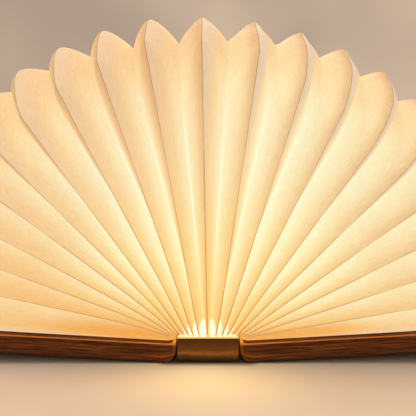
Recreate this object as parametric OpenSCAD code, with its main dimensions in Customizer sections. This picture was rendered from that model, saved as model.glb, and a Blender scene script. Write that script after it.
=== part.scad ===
// Folding book lamp, open: two wooden covers hinged on a metal spine, with a
// pleated paper shade that fans out between them. Units are millimetres.
// X runs across the book, Y along its spine (head end at -Y), Z up.
// The origin is on the table, under the middle of the spine.

/* [Covers] */
// Length of the book along its spine
book_len = 122; // [110:1:160]
// Width of each cover board, from its hinge end to its fore-edge
cover_w = 86; // [80:1:110]
// Thickness of each cover board
cover_t = 4.8; // [4.4:0.1:8]
// How far the outer end of an open cover is raised, in degrees
open_tilt = 3.4; // [0:0.2:6]
// Radius of the long outer edges of a board
edge_r = 3.1; // [1:0.1:3.4]
// Radius of a board's two fore-edge corners, seen from above
corner_r = 4; // [1:0.5:12]
// Height of the raised lip along a board's hinge end
lip_h = 1.3; // [1.2:0.1:1.6]
// Width of that lip, measured across the board
lip_run = 1.95; // [1.6:0.05:2.6]
// Gap between a board's hinge end and the spine
board_gap = 0.3; // [0.2:0.05:0.6]

/* [Spine] */
// Width of the spine block
spine_w = 14.4; // [14.2:0.1:18]
// Height of the spine block
spine_h = 5.6; // [5.2:0.1:5.8]
// Side wall of the spine channel
wall_t = 1.2; // [1.1:0.05:1.4]
// Floor of the spine channel
floor_t = 0.9; // [0.7:0.05:1.2]
// Radius of the spine's two lower edges
spine_edge_r = 0.8; // [0.3:0.1:1.2]
// Thickness of the tail end cap
cap_t = 1; // [0.8:0.1:1.4]
// Thickness of the head end block
head_cap_t = 1.6; // [0.8:0.1:1.6]
// Depth that an end cap's plug reaches into the channel
cap_plug = 1.6; // [1:0.1:2.4]
// How far the spine's tail end stands back from the boards' tail edge
spine_inset = 0.7; // [0.7:0.1:0.9]

/* [Shade] */
// Distance that the paper stands back from the boards' head and tail edges
page_inset = 2; // [1.5:0.1:4]
// Distance that the paper stands back from the boards' fore-edge
fore_inset = 1.6; // [1:0.1:6]
// Sideways spread of the page roots, from the middle to the last page
root_spread = 8.9; // [8.6:0.1:9.4]
// Depth of a fold behind the head and tail ridges
fold_depth = 11; // [8:0.5:13]
// Depth of a fold behind the fore-edge ridges
fore_depth = 6.6; // [5:0.1:11]
// Size of a page's clipped corner, across the page
corner_w = 16.6; // [12:0.2:22]
// Size of a page's clipped corner, along the spine
corner_l = 22; // [14:0.2:28]
// Thickness of the paper
paper_t = 0.2; // [0.14:0.02:0.3]
// Thickness of the liner glued inside each cover
liner_t = 0.25; // [0.2:0.05:0.3]
// Lean of the upright pages to the left, in degrees
lean = 1.15; // [0:0.05:1.5]
// Sag of the outer right-hand pages, in degrees
sag = 0.6; // [0:0.1:1]

/* [Hinges] */
// Radius of the hinge knuckles
knuckle_r = 1; // [0.9:0.05:1.1]
// Radius of the hinge pin
pin_r = 0.45; // [0.35:0.05:0.5]
// Running clearance between the pin and a knuckle's bore, on the radius
pin_clear = 0.05; // [0.02:0.01:0.1]
// Thickness of a hinge leaf
hinge_t = 0.5; // [0.4:0.05:0.55]
// Height of a hinge leaf, below its pin
hinge_leaf_h = 3.6; // [3.2:0.1:4]
// Number of knuckles along a hinge
knuckles = 7; // [5:2:11]
// Distance from each end of a hinge to the paper's folds
hinge_end_gap = 1.9; // [1.5:0.1:6]
// Gap between neighbouring knuckles
knuckle_gap = 0.4; // [0.3:0.1:0.8]
// Radius of a hinge screw's shank
screw_r = 0.5; // [0.4:0.05:0.6]
// Length of a hinge screw
screw_len = 5; // [4:0.5:8]

/* [Light and power] */
// Distance from the lamp board to the head end cap
led_head_gap = 2.7; // [0.5:0.1:10]
// Distance from the lamp board to the charging socket
led_socket_gap = 3.7; // [0.5:0.1:10]
// Thickness of the lamp board
led_board_t = 0.6; // [0.4:0.1:0.7]
// Number of lamp chips
led_count = 12; // [6:1:16]
// Height of a lamp chip
led_h = 0.35; // [0.3:0.05:0.4]
// Thickness of the diffuser's face
diffuser_t = 0.5; // [0.4:0.05:0.6]
// Length of the battery cell
cell_len = 62; // [40:1:66]
// Thickness of the battery cell
cell_t = 2.1; // [1.6:0.1:2.2]
// Length of the control board
control_len = 34; // [28:1:40]
// Thickness of the control board
control_t = 0.6; // [0.4:0.1:0.8]
// Width of the charging socket's shell
usb_w = 8.94; // [8.9:0.01:9]
// Height of the charging socket's shell
usb_h = 3.1; // [3:0.02:3.2]
// Length of the charging socket's shell
usb_len = 7.3; // [6.6:0.1:8]
// Radius of the mode button
button_r = 0.9; // [0.7:0.05:1]
// How far the mode button stands out of the tail cap
button_out = 0.6; // [0.5:0.05:1]
// How far the mode button travels
button_travel = 0.35; // [0.2:0.05:0.4]
// Running clearance around the mode button, on the radius
button_clear = 0.08; // [0.05:0.01:0.1]

/* [Magnets] */
// Radius of a cover magnet
magnet_r = 3; // [2:0.25:4]
// Thickness of a cover magnet
magnet_t = 1.6; // [1:0.1:2]
// Distance between the two magnets of a cover
magnet_pitch = 84; // [40:2:90]
// Distance from a cover's fore-edge to its magnets
magnet_inset = 9; // [7:0.5:14]
// Radius of the small magnet that works the lid switch
trigger_r = 1.5; // [1:0.1:2]

/* [Hidden] */
$fn = 64;

// Small fitting gaps
seat_gap = 0.05;
cut_over = 0.5;
paper_gap = 0.15;

// Hinge line and board section, in a cover's own frame: u across, w up, from the pin
knuckle_room = 0.2;
crest_drop = 0.2;
board_u = board_gap / 2;
inner_w = -crest_drop - lip_h;
outer_w = inner_w - cover_t;
lip_arc_r = (pow(lip_run, 2) + pow(lip_h, 2)) / (2 * lip_h);
half_len = book_len / 2;
hinge_x = spine_w / 2 + board_gap / 2;
hinge_z = edge_r - (board_u + edge_r) * sin(open_tilt) - (outer_w + edge_r) * cos(open_tilt);
top_over_pin = 0.1;

// Spine levels
spine_top = hinge_z + top_over_pin;
spine_low = spine_top - spine_h;
spine_half = half_len - spine_inset;
channel_half = spine_half - cap_t;
inner_half = spine_w / 2 - wall_t;
ledge_w = 0.6;
ledge_half = inner_half - ledge_w;
floor_z = spine_low + floor_t;
led_drop = 2.15;
led_z = spine_top - led_drop;
led_chip_w = 2.8;
led_chip_l = 3.5;
led_end_room = 3;
diffuser_z = led_z + led_board_t + led_h + 0.08;
diffuser_wall = 0.5;
diffuser_top = diffuser_z + diffuser_t;

// Pages: equal steps between the two covers, with a slight lean and sag
pleats_per_side = 9;
page_step = (90 - open_tilt) / (pleats_per_side + 1);
lean_wave = 2;
lean_level = 0.13;
fan_drop = 1;
fan_z = spine_top - fan_drop;
seat_z = diffuser_top + paper_gap;
page_y = half_len - page_inset;
page_r = hinge_x + board_u + cover_w - fore_inset - root_spread;
last_spine_page = 5;
lip_start = 1.4;
lip_start_step = 0.15;
root_run = 3.5;
root_share = 0.3;
end_page_rise = 0.04;
valley_lift = 0.25;
corner_steps = 6;
leg_steps = 4;
ridge_corner_w = 0.96;
ridge_corner_l = 0.8;
valley_corner_back = 4;

// Hinge
fold_room_gap = 0.6;
fold_room_y = page_y - fold_depth - paper_t - fold_room_gap;
hinge_half = fold_room_y - hinge_end_gap;
knuckle_pitch = (2 * hinge_half + knuckle_gap) / knuckles;
knuckle_len = knuckle_pitch - knuckle_gap;
hinge_room_half = hinge_half + knuckle_gap;
tab_drop = knuckle_r + knuckle_room;
screw_count = 4;
spine_screw_len = 1.6;
screw_w = -2.5;
screw_head_r = screw_r + 0.25;
screw_head_t = hinge_t * 0.6;

// Power parts
bay_len = 14;
bay_start = channel_half - bay_len;
bay_end = channel_half - cap_plug;
control_start = bay_end - control_len - seat_gap;
control_w = 2 * ledge_half - 0.3;
usb_z = floor_z + 0.1 + usb_h / 2;
usb_face = spine_half - 0.3;
usb_wall = 0.3;
usb_tongue_t = 0.7;
button_z = usb_z;
button_flange_r = button_r + 0.25;
// The socket and the button's flange stand side by side, as one group on the centre line
tail_group_gap = 0.38;
tail_group_w = usb_w + tail_group_gap + 2 * button_flange_r;
usb_x = (usb_w - tail_group_w) / 2;
button_x = tail_group_w / 2 - button_flange_r;
button_flange_t = 0.5;
button_flange_room = 0.3;
button_back = channel_half - button_travel - 0.25;
switch_l = 1.6;
switch_w = 1.6;
switch_shift = 0.4;
switch_x = button_x - switch_shift;
chip_h = 1;
cell_half_w = ledge_half - 0.2;
cell_end_gap = 4;
cell_start = -channel_half + cap_plug + cell_end_gap;
lead_overlap = 4;
link_y = control_start + 19;
led_start = -channel_half + cap_plug + led_head_gap;
led_end = usb_face - usb_len - led_socket_gap;
lead_w = 1.2;
lead_t = 0.2;
lead_x = 2.4;
link_r = 0.3;
link_pitch = 1.5;
magnet_u = board_u + cover_w - magnet_inset;
trigger_u = board_u + 7;
trigger_y = 30;

wood = [0.33, 0.18, 0.09];
bronze = [0.42, 0.26, 0.12];
paper = [1, 0.9, 0.7];
steel = [0.7, 0.68, 0.64];
board_green = [0.12, 0.35, 0.2];

// ---------- shared frames ----------

// Puts children drawn in a right-hand cover's own frame onto the open book; side is -1 or 1
module on_cover(side) {
    mirror([side < 0 ? 1 : 0, 0, 0])
        translate([hinge_x, 0, hinge_z]) rotate([0, -open_tilt, 0]) children();
}

// The same for a piece on the spine's side wall: u points into the spine
module on_spine_side(side) {
    mirror([side < 0 ? 1 : 0, 0, 0])
        translate([hinge_x, 0, hinge_z]) mirror([1, 0, 0]) children();
}

// Extrudes a section drawn in (x, z) along Y, from y0 to y1
module along_spine(y0, y1) {
    translate([0, y1, 0]) rotate([90, 0, 0]) linear_extrude(height = y1 - y0) children();
}

// A round bar along Y
module bar_y(r, y0, y1) {
    translate([0, y1, 0]) rotate([90, 0, 0]) cylinder(r = r, h = y1 - y0);
}

// A box from its lowest to its highest corner
module block(low, high) {
    translate(low) cube(high - low);
}

// ---------- covers ----------

// Board section: a plate with two rounded outer edges and a raised lip at the hinge end
module board_section() {
    translate([board_u, outer_w + edge_r]) square([cover_w, cover_t - edge_r]);
    translate([board_u + edge_r, outer_w]) square([cover_w - 2 * edge_r, edge_r + seat_gap]);
    intersection() {
        translate([board_u, outer_w]) square([cover_w, edge_r + seat_gap]);
        for (u = [board_u + edge_r, board_u + cover_w - edge_r])
            translate([u, outer_w + edge_r]) circle(r = edge_r);
    }
    difference() {
        translate([board_u, inner_w - cut_over]) square([lip_run, lip_h + cut_over]);
        translate([board_u + lip_run, inner_w + lip_arc_r]) circle(r = lip_arc_r);
    }
}

// Plan of a board, with rounded fore-edge corners
module board_plan() {
    u_end = board_u + cover_w;
    translate([board_u - cut_over, -half_len]) square([cover_w + cut_over - corner_r, book_len]);
    translate([u_end - corner_r, corner_r - half_len]) square([corner_r, book_len - 2 * corner_r]);
    for (y = [-1, 1])
        translate([u_end - corner_r, y * (half_len - corner_r)]) circle(r = corner_r);
}

// Room that a board and its liner leave for the hinge
module hinge_room() {
    bar_y(knuckle_r + knuckle_room, -hinge_room_half, hinge_room_half);
    block([board_u - cut_over, -hinge_room_half, -hinge_leaf_h - seat_gap],
          [board_u + hinge_t + seat_gap, hinge_room_half, 0]);
}

module cover_board(side) {
    color(wood) on_cover(side) difference() {
        intersection() {
            along_spine(-half_len, half_len) board_section();
            translate([0, 0, outer_w - cut_over])
                linear_extrude(height = cover_t + lip_h + 2 * cut_over) board_plan();
        }
        hinge_room();
        for (y = [-1, 1]) translate([magnet_u, y * magnet_pitch / 2, inner_w - magnet_t - seat_gap])
            cylinder(r = magnet_r + seat_gap, h = magnet_t + seat_gap + cut_over);
        if (side > 0) translate([trigger_u, trigger_y, inner_w - magnet_t - seat_gap])
            cylinder(r = trigger_r + seat_gap, h = magnet_t + seat_gap + cut_over);
        screw_row(screw_r + seat_gap, screw_len + 2 * seat_gap);
    }
}

module cover_liner(side) {
    liner_end = board_u + cover_w - fore_inset;
    color(paper) on_cover(side) difference() {
        along_spine(-page_y, page_y) {
            translate([board_u + lip_run, inner_w]) square([liner_end - board_u - lip_run, liner_t]);
            intersection() {
                translate([board_u, inner_w]) square([lip_run, lip_h]);
                translate([board_u + lip_run, inner_w + lip_arc_r]) difference() {
                    circle(r = lip_arc_r);
                    circle(r = lip_arc_r - liner_t);
                }
            }
        }
        hinge_room();
    }
}

module cover_magnets(side) {
    color(steel) on_cover(side)
        for (y = [-1, 1]) translate([magnet_u, y * magnet_pitch / 2, inner_w - magnet_t])
            cylinder(r = magnet_r, h = magnet_t - seat_gap);
}

module lid_trigger_magnet() {
    color(steel) on_cover(1) translate([trigger_u, trigger_y, inner_w - magnet_t])
        cylinder(r = trigger_r, h = magnet_t - seat_gap);
}

// ---------- hinges ----------

// First Y of knuckle number i
function knuckle_y(i) = -hinge_half + i * knuckle_pitch;

// Y of hinge screw number i
function screw_y(i) = hinge_half * (2 * i + 1 - screw_count) / screw_count;

// The shanks of a hinge's screws, or the holes for them
module screw_row(r, len) {
    for (i = [0 : screw_count - 1]) translate([board_u + hinge_t * 0.5, screw_y(i), screw_w])
        rotate([0, 90, 0]) cylinder(r = r, h = len);
}

// One hinge leaf with every other knuckle; first is 0 for the spine's leaf, 1 for the cover's
module hinge_leaf(first) {
    difference() {
        union() {
            block([board_u, -hinge_half, -hinge_leaf_h], [board_u + hinge_t, hinge_half, -tab_drop]);
            for (i = [first : 2 : knuckles - 1]) {
                bar_y(knuckle_r, knuckle_y(i), knuckle_y(i) + knuckle_len);
                block([board_u, knuckle_y(i), -tab_drop - cut_over],
                      [board_u + hinge_t, knuckle_y(i) + knuckle_len, -knuckle_r / 2]);
            }
        }
        bar_y(pin_r + pin_clear, -hinge_half - cut_over, hinge_half + cut_over);
        for (i = [0 : screw_count - 1]) translate([board_u, screw_y(i), screw_w]) rotate([0, 90, 0]) {
            translate([0, 0, -cut_over])
                cylinder(r = screw_head_r + seat_gap, h = screw_head_t + seat_gap + cut_over);
            cylinder(r = screw_r + seat_gap, h = hinge_t + cut_over);
        }
    }
}

module hinge_cover_leaf(side) {
    color(steel) on_cover(side) hinge_leaf(1);
}

module hinge_spine_leaf(side) {
    color(steel) on_spine_side(side) hinge_leaf(0);
}

module hinge_pin(side) {
    color(steel) translate([side * hinge_x, 0, hinge_z]) bar_y(pin_r, -hinge_half, hinge_half);
}

// A hinge's screws, with heads sunk flush into the leaf
module screws(len) {
    for (i = [0 : screw_count - 1]) translate([board_u, screw_y(i), screw_w]) rotate([0, 90, 0]) {
        cylinder(r = screw_head_r, h = screw_head_t);
        cylinder(r = screw_r, h = len);
    }
}

module hinge_screws(side) {
    color(steel) on_cover(side) screws(screw_len);
}

module spine_screws() {
    color(steel) for (s = [-1, 1]) on_spine_side(s) screws(spine_screw_len);
}

// ---------- spine ----------

// Outline of the spine block in (x, z), with rounded lower edges
module spine_outline() {
    difference() {
        translate([-spine_w / 2, spine_low]) square([spine_w, spine_h]);
        for (s = [-1, 1]) translate([s * spine_w / 2 - spine_edge_r, spine_low - spine_edge_r])
            square(2 * spine_edge_r);
    }
    for (s = [-1, 1]) translate([s * (spine_w / 2 - spine_edge_r), spine_low + spine_edge_r])
        circle(r = spine_edge_r);
}

// Room that the spine leaves for a hinge leaf and the turning knuckles
module spine_hinge_room(side) {
    on_spine_side(side) {
        hinge_room();
        screw_row(screw_r + seat_gap, spine_screw_len - hinge_t / 2 + seat_gap);
    }
}

module spine_channel() {
    color(bronze) difference() {
        along_spine(-channel_half, channel_half) spine_outline();
        block([-inner_half, -channel_half - cut_over, led_z],
              [inner_half, channel_half + cut_over, spine_top + cut_over]);
        block([-ledge_half, -channel_half - cut_over, floor_z],
              [ledge_half, channel_half + cut_over, led_z + cut_over]);
        block([-inner_half, bay_start, floor_z], [inner_half, channel_half + cut_over, led_z + cut_over]);
        for (s = [-1, 1]) {
            spine_hinge_room(s);
            // The side walls stand lower where the folds of the paper reach down
            block([-spine_w, s > 0 ? fold_room_y : -channel_half - cut_over, fan_z],
                  [spine_w, s > 0 ? channel_half + cut_over : -fold_room_y, spine_top + cut_over]);
        }
    }
}

// An end cap: a face of thickness t and a plug that fits the channel; drawn for the tail end
module end_cap_body(t) {
    along_spine(channel_half, channel_half + t) spine_outline();
    block([-inner_half + seat_gap, channel_half - cap_plug, led_z + seat_gap],
          [inner_half - seat_gap, channel_half + cut_over, diffuser_z - seat_gap]);
}

module head_end_cap() {
    color(bronze) mirror([0, 1, 0]) {
        end_cap_body(head_cap_t);
        block([-ledge_half + seat_gap, channel_half - cap_plug, floor_z + seat_gap],
              [ledge_half - seat_gap, channel_half + cut_over, led_z + cut_over]);
    }
}

module tail_end_cap() {
    color(bronze) difference() {
        end_cap_body(cap_t);
        block([usb_x - usb_w / 2 - seat_gap, channel_half - cap_plug - cut_over,
               usb_z - usb_h / 2 - seat_gap],
              [usb_x + usb_w / 2 + seat_gap, spine_half + cut_over, usb_z + usb_h / 2 + seat_gap]);
        translate([button_x, 0, button_z]) {
            bar_y(button_r + button_clear, channel_half - cut_over, spine_half + cut_over);
            bar_y(button_flange_r + button_flange_room, channel_half - cap_plug - cut_over, channel_half);
        }
    }
}

// ---------- light ----------

module led_board() {
    color("white") block([-inner_half + seat_gap, led_start, led_z + seat_gap],
                         [inner_half - seat_gap, led_end, led_z + led_board_t]);
}

module led_chips() {
    pitch = (led_end - led_start - 2 * led_end_room) / led_count;
    color("gold") for (i = [0 : led_count - 1])
        translate([-led_chip_w / 2, led_start + led_end_room + (i + 0.5) * pitch - led_chip_l / 2,
                   led_z + led_board_t])
            cube([led_chip_w, led_chip_l, led_h]);
}

module light_diffuser() {
    outer = inner_half - seat_gap;
    color([1, 0.97, 0.88]) union() {
        block([-outer, -channel_half + seat_gap, diffuser_z], [outer, channel_half - seat_gap, diffuser_top]);
        for (s = [-1, 1])
            block([s > 0 ? outer - diffuser_wall : -outer, led_start, led_z + led_board_t],
                  [s > 0 ? outer : diffuser_wall - outer, led_end, diffuser_z + seat_gap]);
    }
}

// ---------- power ----------

module battery_cell() {
    color("silver") block([-cell_half_w, cell_start, floor_z + seat_gap],
                          [cell_half_w, cell_start + cell_len, floor_z + seat_gap + cell_t]);
}

module battery_leads() {
    lead_end = control_start + lead_overlap;
    lead_z = floor_z + seat_gap + control_t;
    color("goldenrod") for (s = [-1, 1])
        block([s * lead_x - lead_w / 2, cell_start + cell_len, lead_z],
              [s * lead_x + lead_w / 2, lead_end, lead_z + lead_t]);
}

module control_board() {
    color(board_green) difference() {
        block([-control_w / 2, control_start, floor_z + seat_gap],
              [control_w / 2, bay_end - seat_gap, floor_z + seat_gap + control_t]);
        block([usb_x - usb_w / 2 - seat_gap, usb_face - usb_len - seat_gap, floor_z - cut_over],
              [usb_x + usb_w / 2 + seat_gap, half_len, floor_z + control_t + cut_over]);
    }
}

// Charge controller, lamp driver and lid switch on the control board
module board_components() {
    chip_z = floor_z + seat_gap + control_t;
    chips = [[-2, 7, 3, 3], [2.4, 8, 2.9, 1.6], [-2.6, 13, 2, 1.2], [2.6, 13, 3, 3]];
    color([0.1, 0.1, 0.1]) for (c = chips)
        translate([c[0] - c[2] / 2, control_start + c[1] - c[3] / 2, chip_z]) cube([c[2], c[3], chip_h]);
}

module board_link_pins() {
    color("gold") for (i = [-1 : 1])
        translate([i * link_pitch, link_y, floor_z + seat_gap + control_t])
            cylinder(r = link_r, h = led_z - floor_z - control_t);
}

module charging_socket() {
    color(steel) union() {
        difference() {
            translate([usb_x, 0, usb_z])
                along_spine(usb_face - usb_len, usb_face) socket_outline(usb_w, usb_h);
            translate([usb_x, 0, usb_z])
                along_spine(usb_face - usb_len + usb_wall, usb_face + cut_over)
                    socket_outline(usb_w - 2 * usb_wall, usb_h - 2 * usb_wall);
        }
        block([usb_x - usb_w / 4, usb_face - usb_len, usb_z - usb_tongue_t / 2],
              [usb_x + usb_w / 4, usb_face - 1, usb_z + usb_tongue_t / 2]);
    }
}

// A slot shape centred on the origin
module socket_outline(w, h) {
    translate([h / 2 - w / 2, -h / 2]) square([w - h, h]);
    for (s = [-1, 1]) translate([s * (w - h) / 2, 0]) circle(r = h / 2);
}

module mode_button() {
    color(steel) translate([button_x, 0, button_z]) {
        bar_y(button_r, button_back, spine_half + button_out);
        bar_y(button_flange_r, button_back - button_flange_t, channel_half - 0.05);
    }
}

module button_switch() {
    switch_y = button_back - button_flange_t - button_travel - 0.05;
    color([0.1, 0.1, 0.1])
        block([switch_x - switch_w / 2, switch_y - switch_l, floor_z + seat_gap + control_t],
              [switch_x + switch_w / 2, switch_y, button_z + button_r]);
}

// ---------- shade ----------

// Angle of page k from upright, in degrees; pages beyond the last lie on the covers
function page_angle(k) = abs(k) > pleats_per_side ? sign(k) * (90 - open_tilt)
    : k * page_step - lean * (cos(lean_wave * k * page_step) - lean_level) + sag * sin(k * page_step);

// How far from the fan's root line page k starts
function page_start(k) = abs(k) <= last_spine_page ? (seat_z - fan_z) / cos(page_angle(k))
    : max(lip_start - lip_start_step * (abs(k) - last_spine_page - 1), 0.35);

// Half the room between a page and its neighbours at radius r, square to the page
function half_room(k, r) =
    (root_spread * pow(cos(page_angle(k)), 2) + r) * sin(page_step / 2);

// A thickness or gap, made smaller near the root, where the pages crowd together
function crowded(full, k, r) = min(full, root_share * half_room(k, r));

function page_dir(a) = [sin(a), 0, cos(a)];

// Point of page k at radius r and depth y behind the head ridges
function page_point(k, r, y) = [root_spread * sin(page_angle(k)), y - page_y, fan_z]
    + r * page_dir(page_angle(k))
    + (abs(k) > pleats_per_side ? end_page_rise : 0) * page_dir(page_angle(k) - sign(k) * 90);

// Point of the valley between pages k and k + 1
function valley_point(k, r, y) = (page_point(k, r, y) + page_point(k + 1, r, y)) / 2;

// A curve from a to c that bends towards b
function bend(a, b, c, t) = (1 - t) * (1 - t) * a + 2 * t * (1 - t) * b + t * t * c;

// Stations between a leg's root and its corner, where the corner starts at radius end
function leg_stations(start, end) = [start, start + root_run,
    for (i = [1 : leg_steps - 1]) start + root_run + (end - start - root_run) * i / leg_steps];

// Ridge outline of a page, half of it: root, corner, middle of the fore-edge, as [r, y]
function ridge_line(k) = concat(
    [for (r = leg_stations(page_start(k), page_r - corner_w)) [r, 0]],
    [for (i = [0 : corner_steps]) bend([page_r - corner_w, 0],
        [page_r - (1 - ridge_corner_w) * corner_w, ridge_corner_l * corner_l],
        [page_r, corner_l], i / corner_steps)],
    [[page_r, page_y]]);

// Valley outline beside page k, in step with ridge_line
function valley_line(start) = concat(
    [for (r = leg_stations(start, page_r - corner_w - valley_corner_back)) [r, fold_depth]],
    [for (i = [0 : corner_steps]) bend([page_r - corner_w - valley_corner_back, fold_depth],
        [page_r - fore_depth, fold_depth],
        [page_r - fore_depth, corner_l], i / corner_steps)],
    [[page_r - fore_depth, page_y]]);

// The other half of an outline, mirrored to the tail end
function to_tail(half) = concat(half,
    [for (i = [len(half) - 2 : -1 : 0]) [half[i][0], 2 * page_y - half[i][1]]]);

// Unit vector along v
function unit(v) = v / norm(v);

// One paper page: two panels that fall away from a ridge. side is 0 for both panels,
// or -1 or 1 for a single panel on that side. Rings of points run from head to tail.
module paper_page(k, side) {
    ridge = to_tail(ridge_line(k));
    left_line = to_tail(valley_line(max(page_start(k), page_start(k - 1)) + valley_lift));
    right_line = to_tail(valley_line(max(page_start(k), page_start(k + 1)) + valley_lift));
    last = len(ridge) - 1;
    m = [for (p = ridge) page_point(k, p[0], p[1])];
    across = page_dir(page_angle(k) + 90);
    gap = [for (p = ridge) crowded(paper_gap / 2, k, p[0])];
    thick = [for (p = ridge) crowded(paper_t, k, p[0])];
    lv = [for (i = [0 : last])
        valley_point(k - 1, left_line[i][0], left_line[i][1]) + across * gap[i]];
    rv = [for (i = [0 : last])
        valley_point(k, right_line[i][0], right_line[i][1]) - across * gap[i]];
    // The direction into the fold, square to the ridge
    function inward(i) = let (along = unit(m[min(i + 1, last)] - m[max(i - 1, 0)]),
                              v = (lv[i] + rv[i]) / 2 - m[i])
        unit(v - (v * along) * along);
    function panel_turn(i) = norm(cross(unit(rv[i] - m[i]), inward(i)));
    function inner_ridge(i) = m[i] + inward(i) * min(thick[i] / panel_turn(i), fold_depth / 2);
    ring_size = side == 0 ? 6 : 4;
    rings = [for (i = [0 : last]) side == 0
        ? [lv[i], m[i], rv[i],
           rv[i] - across * thick[i], inner_ridge(i), lv[i] + across * thick[i]]
        : side > 0
        ? [m[i], rv[i], rv[i] - across * thick[i], m[i] - across * thick[i]]
        : [lv[i], m[i], m[i] + across * thick[i], lv[i] + across * thick[i]]];
    points = [for (ring = rings) for (p = ring) p];
    function quad(a, b, c, d) = [[a, b, c], [a, c, d]];
    // Both faces of a panel are split along the same diagonal, so that the sheet keeps its thickness
    turned = side == 0 ? [1, 4] : side > 0 ? [0] : [2];
    walls = [for (i = [0 : last - 1]) for (j = [0 : ring_size - 1])
        let (n = (j + 1) % ring_size, a = i * ring_size, b = a + ring_size)
        each len(search(j, turned)) > 0
            ? quad(b + j, b + n, a + n, a + j)
            : quad(a + j, b + j, b + n, a + n)];
    function cap(a) = side == 0
        ? concat(quad(a, a + 1, a + 4, a + 5), quad(a + 1, a + 2, a + 3, a + 4))
        : quad(a, a + 1, a + 2, a + 3);
    end = last * ring_size;
    color(paper) polyhedron(points = points,
        faces = concat(walls, cap(0), [for (f = cap(end)) [f[2], f[1], f[0]]]));
}

spine_channel();
head_end_cap();
tail_end_cap();
led_board();
led_chips();
light_diffuser();
battery_cell();
battery_leads();
control_board();
board_components();
board_link_pins();
charging_socket();
button_switch();
mode_button();
cover_board(-1);  // left_cover_board
cover_board(1);  // right_cover_board
cover_liner(-1);  // left_cover_liner
cover_liner(1);  // right_cover_liner
cover_magnets(-1);  // left_cover_magnets
cover_magnets(1);  // right_cover_magnets
lid_trigger_magnet();
hinge_cover_leaf(-1);  // left_hinge_cover_leaf
hinge_cover_leaf(1);  // right_hinge_cover_leaf
hinge_spine_leaf(-1);  // left_hinge_spine_leaf
hinge_spine_leaf(1);  // right_hinge_spine_leaf
hinge_pin(-1);  // left_hinge_pin
hinge_pin(1);  // right_hinge_pin
hinge_screws(-1);  // left_hinge_screws
hinge_screws(1);  // right_hinge_screws
spine_screws();  // spine_hinge_screws
paper_page(-10, 1);  // left_end_page
paper_page(10, -1);  // right_end_page
paper_page(0, 0);  // pleat_centre
paper_page(-1, 0);  // pleat_left_1
paper_page(-2, 0);  // pleat_left_2
paper_page(-3, 0);  // pleat_left_3
paper_page(-4, 0);  // pleat_left_4
paper_page(-5, 0);  // pleat_left_5
paper_page(-6, 0);  // pleat_left_6
paper_page(-7, 0);  // pleat_left_7
paper_page(-8, 0);  // pleat_left_8
paper_page(-9, 0);  // pleat_left_9
paper_page(1, 0);  // pleat_right_1
paper_page(2, 0);  // pleat_right_2
paper_page(3, 0);  // pleat_right_3
paper_page(4, 0);  // pleat_right_4
paper_page(5, 0);  // pleat_right_5
paper_page(6, 0);  // pleat_right_6
paper_page(7, 0);  // pleat_right_7
paper_page(8, 0);  // pleat_right_8
paper_page(9, 0);  // pleat_right_9
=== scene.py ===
"""Dresses the folding book lamp on its CAD frame: glowing pages, walnut covers and a bronze spine."""
import logging
import math
from dataclasses import dataclass
from enum import Enum
from functools import reduce

import bpy
import numpy as np
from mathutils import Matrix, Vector


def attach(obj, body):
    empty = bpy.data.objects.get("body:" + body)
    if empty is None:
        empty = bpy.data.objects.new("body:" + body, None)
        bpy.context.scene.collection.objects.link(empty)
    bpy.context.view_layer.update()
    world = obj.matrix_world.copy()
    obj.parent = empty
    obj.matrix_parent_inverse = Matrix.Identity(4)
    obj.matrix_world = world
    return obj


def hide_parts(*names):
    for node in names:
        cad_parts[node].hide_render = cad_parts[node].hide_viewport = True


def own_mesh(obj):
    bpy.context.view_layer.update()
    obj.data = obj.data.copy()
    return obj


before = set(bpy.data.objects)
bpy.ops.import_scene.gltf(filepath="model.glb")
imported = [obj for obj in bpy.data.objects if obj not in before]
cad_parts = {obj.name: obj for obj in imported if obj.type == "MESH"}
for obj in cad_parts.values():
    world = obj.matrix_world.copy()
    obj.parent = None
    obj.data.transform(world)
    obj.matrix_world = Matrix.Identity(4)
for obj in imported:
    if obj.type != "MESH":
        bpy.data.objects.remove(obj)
log = logging.getLogger("book_lamp")
MM = 0.001
Socket = bpy.types.NodeSocket
Number = Socket | float
Colour = Socket | tuple


class Side(Enum):
    """A half of the open book, with the sign of its X."""

    LEFT = -1
    RIGHT = 1

    @property
    def word(self) -> str:
        """The side's name in piece and body names."""
        return self.name.lower()


# ---------------------------------------------------------------- sizes


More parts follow.
